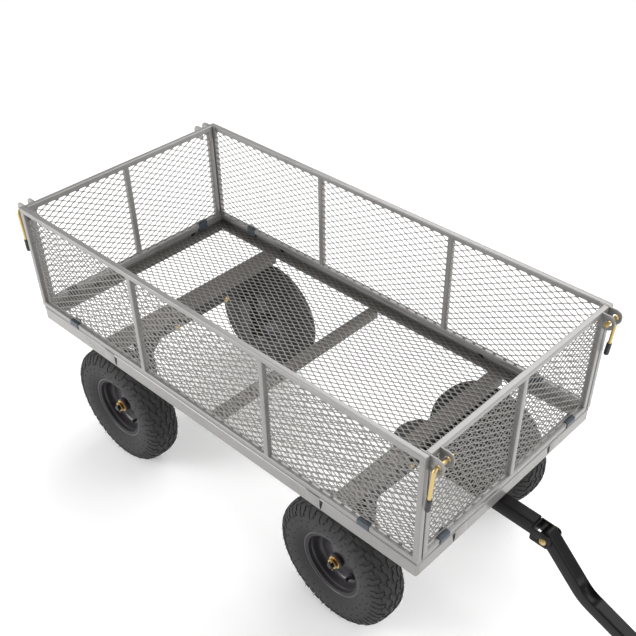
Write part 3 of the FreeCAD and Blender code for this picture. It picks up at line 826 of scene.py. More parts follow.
# ---------------------------------------------------------------------------------------------
# Geometry Nodes
# ---------------------------------------------------------------------------------------------
class Growth(Nodes):
    """A Geometry Nodes tree that is built in the script and run on one helper object."""

    def __init__(self, name: str, finish: Finish, **sizes: float | int) -> None:
        """Starts the tree with its named inputs.

        Args:
            name: the tree's name.
            finish: the finish that Set Material gives.
            sizes: input names and their values; whole numbers become integer inputs.
        """
        super().__init__(bpy.data.node_groups.new(name, "GeometryNodeTree"))
        self.finish, self.sizes, self.keys = finish, sizes, {}
        face = self.tree.interface
        for way in ("INPUT", "OUTPUT"):
            face.new_socket("Geometry", in_out=way, socket_type="NodeSocketGeometry")
        for label, value in sizes.items():
            kind = "NodeSocketInt" if isinstance(value, int) else "NodeSocketFloat"
            self.keys[label] = face.new_socket(label, in_out="INPUT", socket_type=kind).identifier
        self.start = self.tree.nodes.new("NodeGroupInput")

    def given(self, label: str) -> Value:
        """A named input."""
        return Value(self, self.start.outputs[label])

    def made(self, kind: str, inputs: dict) -> Any:
        """Adds one node without settings and returns its first output."""
        return self.add(kind, {}, inputs).outputs[0]

    def vector(self, x: Any = 0.0, y: Any = 0.0, z: Any = 0.0) -> Any:
        """A vector of three numbers or values."""
        return self.made("ShaderNodeCombineXYZ", {0: x, 1: y, 2: z})

    def run(self, result: Any, seed_mesh: bpy.types.Mesh | None = None) -> bpy.types.Mesh:
        """Ends the tree in Realize Instances and Set Material and evaluates it.

        Args:
            result: the geometry socket to finish.
            seed_mesh: the mesh that the tree works on, or None.

        Returns:
            The plain mesh.
        """
        solid = self.made("GeometryNodeRealizeInstances", {"Geometry": result})
        dressed = self.made("GeometryNodeSetMaterial",
                            {"Geometry": solid, "Material": self.finish.material()})
        self.add("NodeGroupOutput", {}, {0: dressed})
        obj = helper(seed_mesh or bpy.data.meshes.new("seed"))
        grown = obj.modifiers.new("grown", "NODES")
        grown.node_group = self.tree
        for label, key in self.keys.items():
            grown[key] = self.sizes[label]
        return baked(obj)


LONG_PITCH, SHORT_PITCH, SHEET_THICK = mm(29.7, 15.4, 1.4)


def expanded_sheet(width: float, height: float, strand: float, thick: float) -> bpy.types.Mesh:
    """Expanded-metal sheet in the XY plane, centred on the origin, long way along X.

    Args:
        width: size along X.
        height: size along Y.
        strand: strand width.
        thick: sheet thickness.

    Returns:
        The mesh.
    """
    across, up = max(2, round(width / LONG_PITCH)), max(2, round(height / SHORT_PITCH))
    g = Growth("expanded_sheet", Finish.MESH, Across=across, Up=up, PitchX=width / across,
               PitchY=height / up, Strand=strand, Thick=thick)
    half_x, half_y = g.given("PitchX") * 0.5, g.given("PitchY") * 0.5
    side, lift = g.given("Strand") * 0.46, g.given("Thick") * 0.28
    far, drop = half_y - side, lift * -1.0
    arm = g.made("GeometryNodeCurvePrimitiveBezierSegment", {
        "Resolution": 5, "Start": g.vector(0.0, side, lift),
        "Start Handle": g.vector(half_x * 0.42, side, lift),
        "End Handle": g.vector(half_x * 0.58, far, drop), "End": g.vector(half_x, far, drop)})
    flat = g.add("GeometryNodeSetCurveNormal", {"mode": "Z_UP"}, {"Curve": arm}).outputs[0]
    band = g.made("GeometryNodeCurvePrimitiveQuadrilateral",
                  {"Width": g.given("Strand"), "Height": g.given("Thick")})
    strip = g.made("GeometryNodeCurveToMesh",
                   {"Curve": flat, "Profile Curve": band, "Fill Caps": True})
    turns = [(0.0, 0.0, 0.0), (0.0, 0.0, math.pi), (math.pi, 0.0, 0.0), (0.0, math.pi, 0.0)]
    arms = [g.made("GeometryNodeTransform", {"Geometry": strip, "Rotation": t}) for t in turns]
    knot = g.made("GeometryNodeJoinGeometry", {0: arms})
    grid = g.made("GeometryNodeMeshGrid", {
        "Size X": g.given("PitchX") * (g.given("Across") - 1.0),
        "Size Y": g.given("PitchY") * (g.given("Up") - 1.0),
        "Vertices X": g.given("Across"), "Vertices Y": g.given("Up")})
    return g.run(g.made("GeometryNodeInstanceOnPoints", {"Points": grid, "Instance": knot}))


def around(mesh: bpy.types.Mesh, count: int, finish: Finish, name: str) -> bpy.types.Mesh:
    """Repeats a mesh around the Y axis.

    Args:
        mesh: the unit, in its first place.
        count: number of copies.
        finish: the finish it is given.
        name: the tree's name.

    Returns:
        The mesh of all copies.
    """
    g = Growth(name, finish, Count=count)
    line = g.made("GeometryNodeMeshLine", {"Count": g.given("Count"), "Offset": (0.0, 0.0, 0.0)})
    angle = Value(g, g.made("GeometryNodeInputIndex", {})) * math.tau / g.given("Count")
    spread = g.made("GeometryNodeInstanceOnPoints", {
        "Points": line, "Instance": g.given("Geometry"), "Rotation": g.vector(0.0, angle, 0.0)})
    return g.run(spread, mesh)


def at_points(mesh: bpy.types.Mesh, places: Sequence[Vector], finish: Finish,
              name: str) -> bpy.types.Mesh:
    """Repeats a mesh at the given places.

    Args:
        mesh: the unit, around the origin.
        places: where each copy goes.
        finish: the finish it is given.
        name: the tree's name.

    Returns:
        The mesh of all copies.
    """
    spots = bpy.data.meshes.new("spots")
    spots.from_pydata([tuple(p) for p in places], [], [])
    unit = helper(mesh, "unit")
    g = Growth(name, finish, Size=1.0)
    source = g.add("GeometryNodeObjectInfo", {"transform_space": "ORIGINAL"}, {"Object": unit})
    spread = g.made("GeometryNodeInstanceOnPoints", {
        "Points": g.given("Geometry"), "Instance": source.outputs["Geometry"],
        "Scale": g.vector(*[g.given("Size")] * 3)})
    grown = g.run(spread, spots)
    bpy.data.objects.remove(unit)
    return grown


# ---------------------------------------------------------------------------------------------
# The frame's own places
# ---------------------------------------------------------------------------------------------
JOINTS = {j["name"]: j for j in frame["record"]["behaviour"]["joints"]}
BED_LO, BED_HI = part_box("bed_sides")
BED_X, BED_Y = (BED_LO.x + BED_HI.x) / 2, (BED_LO.y + BED_HI.y) / 2
BED_HALF_L, BED_HALF_W = (BED_HI.x - BED_LO.x) / 2, (BED_HI.y - BED_LO.y) / 2
RIM_Z = BED_HI.z
TO_BED = shift(BED_X, BED_Y, RIM_Z)
KINGPIN = Vector(JOINTS["steering"]["pos_m"])
FRONT_AXIS = Vector(JOINTS["wheel_front_left_spin"]["axis"])
STEER = math.degrees(math.atan2(-FRONT_AXIS.x, FRONT_AXIS.y))
TO_FRONT_AXLE = shift(KINGPIN.x, KINGPIN.y, 0.0) @ turn(STEER)
CORNERS = ("front_right", "front_left", "rear_right", "rear_left")
PANEL_RISE = mm(283.0)
EAR_HOLE_OUT, EAR_HOLE_DROP = mm(17.0, 18.0)


@dataclass
class Bed:
    """The rim walls with their bead and flange, the doubler plates, the deck and its members."""

    depth: float = mm(36.5)
    wall: float = mm(2.0)
    bead: float = mm(4.0)
    proud: float = mm(1.0)
    flange: float = mm(31.0)
    deck_drop: float = mm(13.0)
    return_lip: float = mm(15.0)
    corner: float = mm(7.0)
    plate_half: float = mm(19.0)
    cut_from: float = mm(-3.0)
    edge: float = mm(0.6)

    def section(self) -> list[tuple]:
        """(inset, height) outline of the wall: bead, wall and return lip."""
        top, low = -self.bead, -self.depth
        u0, u1, lip = self.proud, self.proud + self.wall, self.return_lip
        bead = [(self.bead + self.bead * math.sin(a), top + self.bead * math.cos(a))
                for a in (math.radians(-128 + 22 * k) for k in range(15))]
        outer = [(u0, top - mm(3.4)), (u0, low + mm(2.6)), (u0 + mm(0.7), low + mm(0.8)),
                 (u0 + mm(2.4), low)]
        fold = [(lip, low), (lip, low + self.wall), (u1 + mm(1), low + self.wall),
                (u1, low + self.wall + mm(1))]
        return bead[::-1] + outer + fold + [(u1, -self.deck_drop), (u1, top - mm(4.2))]

    def shelf(self) -> list[tuple]:
        """(inset, height) outline of the deck flange."""
        u1, u2, e = self.proud + self.wall - mm(0.3), self.flange, self.edge
        deck = -self.deck_drop - mm(2.0)
        low = deck - self.wall
        return [(u1, deck), (u1, low), (u2 - e, low), (u2, low + e), (u2, deck - e), (u2 - e, deck)]

    def ring(self, section: list[tuple]) -> bpy.types.Mesh:
        """A section carried around the four walls with rounded corners.

        Args:
            section: (inset, height) outline.

        Returns:
            The mesh.
        """
        bm, rows = bmesh.new(), []
        for inset, z in section:
            pull = max(inset, self.corner)
            row = []
            for quarter, (sx, sy) in enumerate(((1, 1), (-1, 1), (-1, -1), (1, -1))):
                centre = (sx * (BED_HALF_L - pull), sy * (BED_HALF_W - pull))
                bend = ring_points(max(self.corner - inset, 0.0), 5, centre, 90 * quarter, 90.0)
                row += [bm.verts.new((x, y, z)) for x, y in bend]
            rows.append(row)
        for k, row in enumerate(rows):
            after = rows[(k + 1) % len(rows)]
            for j in range(len(row)):
                i = (j + 1) % len(row)
                bm.faces.new([row[j], row[i], after[i], after[j]])
        bmesh.ops.remove_doubles(bm, verts=bm.verts, dist=TINY)
        bmesh.ops.dissolve_degenerate(bm, dist=TINY, edges=bm.edges)
        return from_bmesh(bm)

    def stations(self) -> list[Matrix]:
        """Where each doubler plate sits, as transforms from the middle of the -Y wall.

        The end walls carry their slots on the other side of the plate.
        """
        along, across = 0.277 * 2 * BED_HALF_L, 0.272 * 2 * BED_HALF_W
        spots = [turn(q) @ shift(at, -BED_HALF_W, 0.0) for q in (0, 180) for at in (-along, along)]
        return spots + [turn(q) @ shift(at, -BED_HALF_L, 0.0) @ FLIP_X for q in (90, -90)
                        for at in (-across, across)]

    def prism(self, outline: Sequence[tuple], front: float, rear: float) -> bpy.types.Mesh:
        """A cutter through the -Y wall.

        Args:
            outline: (x, z) corners.
            front: y of its outer face.
            rear: y of its inner face.

        Returns:
            The mesh.
        """
        bm = bmesh.new()
        near, far = ([bm.verts.new((x, y, z)) for x, z in outline] for y in (front, rear))
        for loop in (near, far):
            bm.faces.new(loop)
        band(bm, near, far)
        return from_bmesh(bm)

    def slotted(self, rim: bpy.types.Mesh) -> bpy.types.Mesh:
        """Cuts the tapered slots, the plate seats and the corner seams into the rim.

        Args:
            rim: the plain rim, which is used up.

        Returns:
            The cut rim.
        """
        slot = [mm(19, -7), mm(28, -7), mm(22, -32), mm(19, -32)]
        seat = upright(self.plate_half, mm(-28.6), mm(1))
        tools = []
        for place in self.stations():
            tools.append(moved(self.prism(slot, self.cut_from, mm(6)), place))
            tools.append(moved(self.prism(seat, self.cut_from, self.proud), place))
        seam, depth = upright(mm(0.5), mm(-37), mm(1)), self.proud + mm(0.7)
        at = BED_HALF_W - self.corner - mm(1.2)
        tools += [moved(self.prism(seam, self.cut_from, depth),
                        turn(quarter) @ shift(side * at, -BED_HALF_L, 0.0))
                  for quarter in (90, -90) for side in (-1, 1)]
        cutter, body = helper(joined(tools), "cutter"), helper(rim, "rim")
        cut = body.modifiers.new("cut", "BOOLEAN")
        cut.object, cut.operation, cut.solver = cutter, "DIFFERENCE", "EXACT"
        cut.use_self = True
        mesh = baked(body)
        bpy.data.objects.remove(cutter)
        return mesh

    def slot_shade(self) -> bpy.types.Mesh:
        """A black strip behind a slot: painted shade for the dark seen through the slot."""
        return block((mm(16.5), mm(3.6), mm(-34.0)), (mm(30.5), mm(5.2), mm(-6.0)), mm(0.4), 1)

    def doubler(self) -> bpy.types.Mesh:
        """One doubler plate with its row of weld dimples, against a wall that faces -Y."""
        top, *rest = upright(self.plate_half, mm(-28), mm(-0.6))
        size = rounded([*rest, top], [mm(1.5)] * 4, 3)
        face = moved(plate(size, [], mm(1.2), mm(0.35)), turn(90, "X"), shift(0, mm(0.4), 0))
        dot = lathe([mm(-0.55, 0), mm(-0.45, 1.4), mm(0.1, 2.3), mm(0.3, 0)], 14, False)
        dots = at_points(dot, [Vector((x, -mm(0.2), -mm(6.0))) for x in mm(-10.0, 0.0, 10.0)],
                         Finish.SILVER, "weld_dimples")
        return joined([face, dots])

    def deck(self) -> bpy.types.Mesh:
        """The expanded-mesh floor."""
        lo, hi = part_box("deck_mesh")
        size, middle = hi - lo - Vector((mm(3), mm(3), 0.0)), (lo + hi) / 2
        sheet = expanded_sheet(size.x, size.y, mm(1.8), SHEET_THICK)
        return moved(sheet, shift(middle.x, middle.y, hi.z - SHEET_THICK / 2))

    def build(self) -> None:
        """Makes and dresses the bed."""
        rim = moved(self.slotted(self.ring(self.section())), TO_BED)
        flange = moved(self.ring(self.shelf()), TO_BED)
        stations = self.stations()
        keep(flange, "deck_flange", Finish.MEMBER, "bed")
        keep(rim, "bed_rim", Finish.SILVER, "bed", ("bed_sides", "bed_ends"), 28)
        # back and the slot strips are black sheets behind the slots, painted shade seen through
        # them
        one, back = self.doubler(), self.slot_shade()
        doublers = joined([copied(one, place, TO_BED) for place in stations])
        slot_shades = joined([copied(back, place, TO_BED) for place in stations])
        keep(slot_shades, "slot_pockets", Finish.CHASSIS, "bed")
        keep(doublers, "doubler_plates", Finish.SILVER, "bed", ("wall_plates",))
        keep(self.deck(), "deck_expanded_mesh", Finish.MESH, "bed", ("deck_mesh",), 25)
        for node in ("member_rear", "member_mid", "member_front"):
            dress(node, Finish.MEMBER)


class Wall(Enum):
    """The bed wall that a panel stands on: name, turn about Z, and whether it is a long one."""

    RIGHT = ("right", 0.0, True)
    LEFT = ("left", 180.0, True)
    FRONT = ("front", 90.0, False)
    REAR = ("rear", -90.0, False)


@dataclass
class Panel:
    """One fold-down panel: tube frame with latch ears, expanded mesh, and hinge clips."""

    wall: Wall
    tube: float = mm(13.0)
    inset: float = mm(0.2)
    gap: float = mm(3.0)
    rise: float = PANEL_RISE
    mesh_set: float = mm(2.5)
    corner: float = mm(1.8)
    clip_width: float = mm(30.0)
    ear: float = mm(3.0)
    ear_low: float = mm(36.0)
    ear_reach: float = mm(31.0)
    edge_strip: float = mm(5.2)
    half: float = field(init=False)
    run: float = field(init=False)
    bays: int = field(init=False)
    clip_at: float = field(init=False)

    def __post_init__(self) -> None:
        """Takes the panel's length from the bed."""
        long_wall = self.wall.value[2]
        end_run = BED_HALF_W - self.inset - self.tube - self.ear - mm(1.0)
        self.half = BED_HALF_W if long_wall else BED_HALF_L
        self.run = BED_HALF_L if long_wall else end_run
        self.bays = 3 if long_wall else 2
        self.clip_at = self.run * 2 * (0.3885 if long_wall else 0.385)

    @property
    def place(self) -> Matrix:
        """From the -Y wall to this panel's own wall."""
        return TO_BED @ turn(self.wall.value[1])

    def posts(self) -> list[float]:
        """Centre of each upright along the panel."""
        end = self.run - self.tube / 2
        inner = [-self.run + 2 * self.run * k / self.bays for k in range(1, self.bays)]
        return [-end, *inner, end]

    def frame(self) -> list[bpy.types.Mesh]:
        """Rails, uprights and the weld beads where they meet."""
        y0 = -self.half + self.inset
        y1, top = y0 + self.tube, self.rise - self.tube
        low = self.gap + self.tube
        sunk, half = mm(0.4), self.tube / 2
        parts = [square_tube((-self.run, y0, top), (self.run, y1, self.rise), 0, self.corner),
                 square_tube((-self.run, y0, self.gap), (self.run, y1, low), 0, self.corner)]
        for x in self.posts():
            parts.append(square_tube((x - half, y0, low - sunk), (x + half, y1, top + sunk), 2,
                                     self.corner))
            parts += [self.weld(x, y0, y1, z) for z in (low, top)]
        return parts

    def weld(self, x: float, y0: float, y1: float, z: float) -> bpy.types.Mesh:
        """A thin fillet of weld around an upright's foot."""
        w, tall, shy = self.tube / 2 + mm(0.5), mm(0.8), mm(1.4)
        return block((x - w, y0 + shy, z - tall), (x + w, y1 - shy + mm(0.25), z + tall),
                     mm(0.6), 2)

    def ears(self) -> list[bpy.types.Mesh]:
        """Latch ears at both ends of the panel."""
        long_wall = self.wall.value[2]
        hole = (EAR_HOLE_OUT, self.rise - EAR_HOLE_DROP)
        left, right = (-mm(22.0) if long_wall else -mm(0.4)), self.ear_reach
        low, top = self.rise - self.ear_low, self.rise
        outline = rounded([(left, low), (right, low), (right, top), (left, top)],
                          [mm(3.0) if long_wall else 0.0, mm(17.0), mm(15.0), 0.0], 8)
        one = moved(plate(outline, [ring_points(mm(7.0), 28, hole)], self.ear), turn(90, "X"))
        if long_wall:
            y = -self.half + self.inset + self.tube + self.ear / 2
            spot = moved(one, shift(self.run, y, 0.0))
            return [copied(spot, FLIP_X), spot]
        nose = moved(one, turn(-90), shift(0.0, -self.half, 0.0))
        out = self.run - (mm(24.0) + self.ear / 2 - mm(1.0))
        return [copied(nose, shift(-out, 0, 0)), moved(nose, shift(out, 0, 0))]

    def sheet(self) -> bpy.types.Mesh:
        """The expanded mesh with the solid strip and tabs along its lower edge."""
        y = -self.half + self.inset + self.tube / 2 + self.mesh_set
        low, top = self.gap + self.tube, self.rise - self.tube + mm(4.0)
        start, thick = low + self.edge_strip, mm(0.8)
        width = 2 * self.run - mm(10.0)
        weave = moved(expanded_sheet(width, top - start, mm(1.65), SHEET_THICK), turn(90, "X"),
                      shift(0.0, y, (start + top) / 2))
        strip = block((-width / 2, y - thick, start - mm(1.6)),
                      (width / 2, y + thick, start + mm(0.6)), mm(0.3), 1)
        tab = block((-mm(4.0), -thick, -mm(2.6)), (mm(4.0), thick, mm(2.6)), mm(0.3), 1)
        count = round(width / LONG_PITCH)
        places = [Vector((width * ((k + 0.5) / count - 0.5), y, low + mm(2.0)))
                  for k in range(count)]
        return joined([weave, strip, at_points(tab, places, Finish.MESH, "edge_tabs")])

    def clip(self) -> bpy.types.Mesh:
        """One hinge clip around the bottom rail and the rim bead, at x = 0."""
        wrap, lap, shy, mouth = mm(2.0), mm(0.1), mm(0.4), -15
        a0, a1 = -self.half + self.inset, -self.half + self.inset + self.tube
        top, rail, bead = self.gap + self.tube + wrap, self.gap - lap, mm(4.0)
        inner_radius = bead + mm(0.08)

        def jaw(radius: float, degrees: Iterable[int]) -> list[tuple]:
            """Points around the rim bead, by their angle from straight up."""
            turns = [math.radians(d) for d in degrees]
            return [(bead - self.half + radius * math.sin(a), -bead + radius * math.cos(a))
                    for a in turns]

        outer = rounded([(a1 + wrap, top), (a0 - wrap, top), (a0 - wrap, mm(2.0))],
                        [mm(3.0), mm(4.0), mm(0.8)], 5)
        inner = [(a0 - lap, rail - lap), (a0 - lap, top - wrap), (a1 + lap, top - wrap),
                 (a1 + lap, rail)]
        tip = jaw(inner_radius + wrap, [mouth])[0][0]
        lip = [(tip, rail - shy), (bead - self.half - mm(1.0), rail)]
        outline = (jaw(inner_radius + wrap, range(160, 100, -12)) + [(a1 + wrap, -bead)] + outer
                   + inner + lip + jaw(inner_radius, [mouth, *range(-8, 172, 12)]))
        bm, wide = bmesh.new(), self.clip_width / 2
        ends = [[bm.verts.new((x, y, z)) for y, z in outline] for x in (-wide, wide)]
        band(bm, *ends)
        caps = [bm.faces.new(end) for end in ends]
        bmesh.ops.triangulate(bm, faces=caps, ngon_method="EAR_CLIP")
        shell = from_bmesh(bm)
        tab = block((mm(4) - wide, a1 - mm(0.5), top - mm(1)),
                    (wide - mm(4), a1 + wrap, top + mm(4.5)), mm(0.9), 2)
        return joined([shell, tab])

    def build(self) -> None:
        """Makes and dresses the panel."""
        name = self.wall.value[0]
        body = "panel_" + name
        solid = moved(joined(self.frame() + self.ears()), self.place)
        keep(solid, name + "_panel_frame", Finish.SILVER, body, ("frame_" + name,))
        keep(moved(self.sheet(), self.place), name + "_panel_mesh", Finish.MESH, body,
             ("mesh_" + name,), 25)
        one = self.clip()
        pair = joined([copied(one, shift(s * self.clip_at, 0, 0), self.place) for s in (-1, 1)])
        keep(pair, name + "_hinge_clips", Finish.CLIP, body, ("clips_" + name,), 40)


@dataclass
class Latch:
    """One corner latch: a bent yellow pin with a collar, and the dipped sleeve on its leg."""

    corner: str
    rod: float = mm(4.0)
    bend: float = mm(8.0)
    leg: float = mm(75.0)
    lean: float = math.radians(4.0)
    ear_face: float = mm(13.2)
    past_ear: float = mm(42.0)

    def build(self) -> None:
        """Makes and dresses the latch."""
        front, right = self.corner.startswith("front"), self.corner.endswith("right")
        steps = [s for s, used in ((FLIP_X, not front), (FLIP_Y, not right)) if used] + [TO_BED]
        x, z = BED_HALF_L + EAR_HOLE_OUT, PANEL_RISE - EAR_HOLE_DROP
        ear = self.ear_face - BED_HALF_W
        tip, turned = ear + self.past_ear, ear - self.bend - mm(1.0)
        name, body = self.corner, "latch_" + self.corner

        def on_leg(down: float) -> Vector:
            """Point on the hanging leg, a distance below the hole."""
            return Vector((x - down * math.tan(self.lean), turned, z - down))

        path = bent_path([(x, tip, z), (x, turned, z), on_leg(self.leg + mm(4.0))], self.bend)
        ring = lathe([mm(-1.5, 3.9), mm(-1.5, 5.4), mm(-0.9, 6), mm(0.9, 6), mm(1.5, 5.4),
                      mm(1.5, 3.9)], 24)
        collar = moved(ring, shift(x, tip - mm(4.5), z))
        pin = moved(joined([rod(path, self.rod, 18), collar]), *steps)
        keep(pin, "latch_pin_" + name, Finish.ZINC, body, ("pin_" + name,), 40)
        sleeve = lathe([mm(0, 4.02), mm(0, 5.2), mm(0.8, 5.7), mm(8, 5.75), mm(26, 6), mm(30, 5.3),
                        mm(31.6, 3.2), mm(32, 0), mm(4, 0), mm(4, 4)], 28, False)
        sleeve = moved(sleeve, turn(-90, "X"), turn(math.degrees(self.lean), "Y"),
                       shift(*on_leg(self.leg)), *steps)
        keep(sleeve, "latch_sleeve_" + name, Finish.VINYL, body, ("grip_" + name,), 50)


@dataclass
class Wheel:
    """One wheel: tyre with moulded tread, pressed rim with hub, and valve."""

    corner: str
    radius: float = mm(161.0)
    width: float = mm(92.0)
    lip: float = mm(85.0)
    rim_width: float = mm(65.3)
    seat: float = mm(12.0)
    tread: float = mm(3.0)
    lugs: int = 27
    nubs: int = 30
    steps: int = 132
    clocking: float = 11.0
    hub_end: float = mm(44.8)
    gauge: float = mm(2.5)

    @property
    def place(self) -> Matrix:
        """From the wheel's own axes, outboard along +Y, to the frame."""
        joint = JOINTS["wheel_" + self.corner + "_spin"]
        out = 0.0 if self.corner.endswith("left") else 180.0
        lean = STEER if self.corner.startswith("front") else 0.0
        return Matrix.Translation(joint["pos_m"]) @ turn(lean + out)

    def skin(self) -> list[tuple]:
        """(offset, radius) points of the tyre's outer side, from the bead to the crown."""
        half, tall = self.width / 2, self.radius - self.tread - self.lip
        spots = [(0.905, 0.20), (0.965, 0.36), (0.975, 0.52), (0.935, 0.69), (0.84, 0.83),
                 (0.66, 0.93), (0.38, 0.985), (0.0, 1.0)]
        rows = [(half * a, self.lip + tall * b) for a, b in spots]
        seat = self.rim_width / 2
        bead = [(seat - mm(1.0), self.lip - mm(2.0)), (seat + mm(2.2), self.lip + mm(2.6))]
        return smooth_profile(bead + rows, 4)

    def ribbed(self, profile: list[tuple]) -> list[tuple]:
        """Adds the moulded rings of the side wall.

        Args:
            profile: (offset, radius) points of the smooth wall.

        Returns:
            The ribbed profile.
        """
        out = []
        for y, r in profile:
            ring = math.cos((r - self.lip - mm(9.0)) / mm(3.2) * math.tau)
            near = math.exp(-((r - self.lip - mm(10.0)) / mm(7.0)) ** 2)
            out.append((y + mm(0.35) * ring * near, r))
        return out

    def carcass(self) -> bpy.types.Mesh:
        """The tyre without its tread."""
        outer = self.ribbed(self.skin())
        other = [(-y, r) for y, r in reversed(outer[:-1])]
        seat = self.lip - self.seat + mm(0.4)
        half = self.rim_width / 2 - mm(3.0)
        inner = [(-half, seat), (half, seat)]
        return lathe(outer + other + inner, self.steps)

    def on_skin(self, track: list[tuple], s: float, a: float, height: float) -> Vector:
        """A point on the tread band.

        Args:
            track: the outer profile from the crown to the side wall.
            s: distance from the crown along the section, negative inboard.
            a: angle around the wheel.
            height: height over the carcass.

        Returns:
            The point.
        """
        left, side = abs(s), 1.0 if s >= 0 else -1.0
        for (y0, r0), (y1, r1) in zip(track, track[1:]):
            piece = math.hypot(y1 - y0, r1 - r0)
            if left <= piece or (y1, r1) == track[-1]:
                t = left / piece
                y = y0 + (y1 - y0) * t + height * (r0 - r1) / piece
                r = r0 + (r1 - r0) * t + height * (y1 - y0) / piece
                return Vector((r * math.sin(a), side * y, r * math.cos(a)))
            left -= piece
        return Vector((0.0, 0.0, 0.0))

    def lug(self, track: list[tuple], outline: Sequence[tuple], height: float) -> bpy.types.Mesh:
        """One tread block, bent onto the tyre.

        Args:
            track: the outer profile from the crown to the side wall.
            outline: (share of the pitch, distance from the crown in mm) corners.
            height: block height.

        Returns:
            The mesh.
        """
        pitch, per_mm, grown, drawn, sunk = math.tau / self.lugs, 0.02, 1.05, 0.99, -mm(0.8)
        bm = bmesh.new()
        flat = bm.faces.new([bm.verts.new((u, s * per_mm, 0.0)) for u, s in outline])
        bmesh.ops.triangulate(bm, faces=[flat])
        long_edges = [e for e in bm.edges if e.calc_length() > 0.2]
        bmesh.ops.subdivide_edges(bm, edges=long_edges, cuts=2, use_grid_fill=True)
        sides = [e for e in bm.edges if len(e.link_faces) == 1]
        made = bmesh.ops.extrude_edge_only(bm, edges=sides)["geom"]
        skirt = {v for v in made if isinstance(v, bmesh.types.BMVert)}
        centre = Vector((sum(u for u, _ in outline) / len(outline),
                         sum(s for _, s in outline) * per_mm / len(outline), 0.0))
        for v in bm.verts:
            out = (v.co - centre) * (grown if v in skirt else drawn) + centre
            v.co = self.on_skin(track, mm(out.y / per_mm), out.x * pitch,
                                sunk if v in skirt else height)
        return from_bmesh(bm)

    def tread_unit(self) -> bpy.types.Mesh:
        """The blocks of one pitch across the whole tread."""
        track = list(reversed(self.skin()))
        half = [[(0.00, 1.5), (0.40, 1.5), (0.62, 7.5), (0.88, 7.5), (0.88, 15.0), (0.52, 15.0),
                 (0.30, 9.0), (0.00, 9.0)],
                [(0.10, 17.5), (0.55, 17.5), (0.80, 25.0), (1.02, 25.0), (1.02, 32.0), (0.66, 32.0),
                 (0.42, 25.0), (0.10, 25.0)],
                [(0.04, 29.0), (0.30, 29.0), (0.32, 42.0), (0.47, 46.0), (0.47, 55.0), (0.20, 55.0),
                 (0.20, 49.0), (0.04, 45.0)],
                [(0.56, 35.0), (0.92, 35.0), (0.92, 41.0), (0.76, 43.5), (0.76, 49.0), (0.94, 51.5),
                 (0.94, 58.5), (0.60, 58.5), (0.60, 46.5), (0.56, 44.5)]]
        blocks = []
        for outline, share in zip(half, (1.0, 1.0, 0.75, 0.6)):
            for one in (outline, [(u + 0.5, -s) for u, s in outline]):
                blocks.append(self.lug(track, one, self.tread * share))
        return joined(blocks)

    def whiskers(self) -> bpy.types.Mesh:
        """Moulding nubs on both side walls and the shoulders."""
        track = list(reversed(self.skin()))
        chance = random.Random(7)
        spots = []
        kinds = ((57.0, 6.5, 0.6), (70.0, 2.2, 1.1), (84.0, 2.0, 1.1), (44.0, 4.5, 0.6))
        for side in (-1.0, 1.0):
            for s, tall, thick in kinds:
                s, a = s + chance.uniform(-2, 2), chance.uniform(0.0, math.tau / self.nubs)
                foot = self.on_skin(track, side * mm(s), a, -mm(0.2))
                tip = self.on_skin(track, side * mm(s), a, mm(tall))
                spots.append(rod([foot, foot.lerp(tip, 0.5), tip], mm(thick), 6))
        return joined(spots)

    def tyre(self) -> bpy.types.Mesh:
        """Carcass, tread and nubs together."""
        tread = around(self.tread_unit(), self.lugs, Finish.RUBBER, "tread_blocks")
        nubs = around(self.whiskers(), self.nubs, Finish.RUBBER, "mould_nubs")
        return joined([self.carcass(), tread, nubs])

    def rim(self) -> bpy.types.Mesh:
        """Rolled lips, barrel, dished disc and hub."""
        w, lip, seat = self.rim_width / 2, self.lip, self.lip - self.seat
        barrel = seat - self.gauge

        def stepped(y: float, r: float, *offsets: tuple) -> list[tuple]:
            """Points at offsets in mm from a start."""
            return [(y + mm(dy), r + mm(dr)) for dy, dr in offsets]

        edge = stepped(w, lip, (-6, -1.8), (-3, -0.4), (-1, 0), (0, -1.2), (0, -3.2), (-1.2, -5),
                     (-5, -6.4), (-8, -9))
        inside = [(w - mm(14), barrel), *stepped(0.0, barrel, (6, -1), (-1, -4.5)),
                  (mm(-3.6), seat - mm(13)), mm(-2.2, 48), mm(0.5, 39), mm(3.5, 30), mm(6.5, 22.5),
                  mm(8, 18.6)]
        outer = smooth_profile(edge, 3) + smooth_profile(inside, 4)
        ribs = [mm(8.6 + 2.6 * k + a, r) for k in range(4)
                for a, r in ((0.0, 16.2), (0.4, 18.0), (1.6, 18.0), (2.0, 16.2))]
        bore, end = mm(8.06), -self.hub_end
        hub = ribs + [mm(19, 16), (mm(19), bore), (end, bore), (end, mm(17.4)),
                      (end + mm(0.6), mm(18)), mm(4, 18)]
        back = [mm(3.6, 22), mm(0.6, 30), mm(-2.4, 39), mm(-5, 48), (mm(-6.2), seat - mm(13)),
                (mm(-3.6), barrel)]
        far = [(mm(8) - w, barrel),
               *stepped(-w, lip, (4, -9), (0, -4), (0, -1), (1.2, 0), (2.6, -1)),
               *stepped(-w, seat, (3.4, 2), (6, 0)), (w - mm(6), seat)]
        return lathe(outer + hub + back + far, self.steps)

    def valve(self) -> bpy.types.Mesh:
        """Stem, ribbed cap and the seat around it."""
        stem = lathe([mm(-8, 0), mm(-8, 4), mm(1, 5.6), mm(2.4, 4.2), mm(11, 3.4), mm(11.4, 4.4),
                      mm(17, 4.2), mm(18, 3.2), mm(18, 0)], 20, False)
        slot = block(mm(-9, -1.4, -7), mm(9, 0.4, 7), mm(1), 2)
        at = 0.72 * (self.lip - self.seat - self.gauge)
        return moved(joined([stem, slot]), shift(at, 0.0, 0.0), turn(55.0, "Y"))

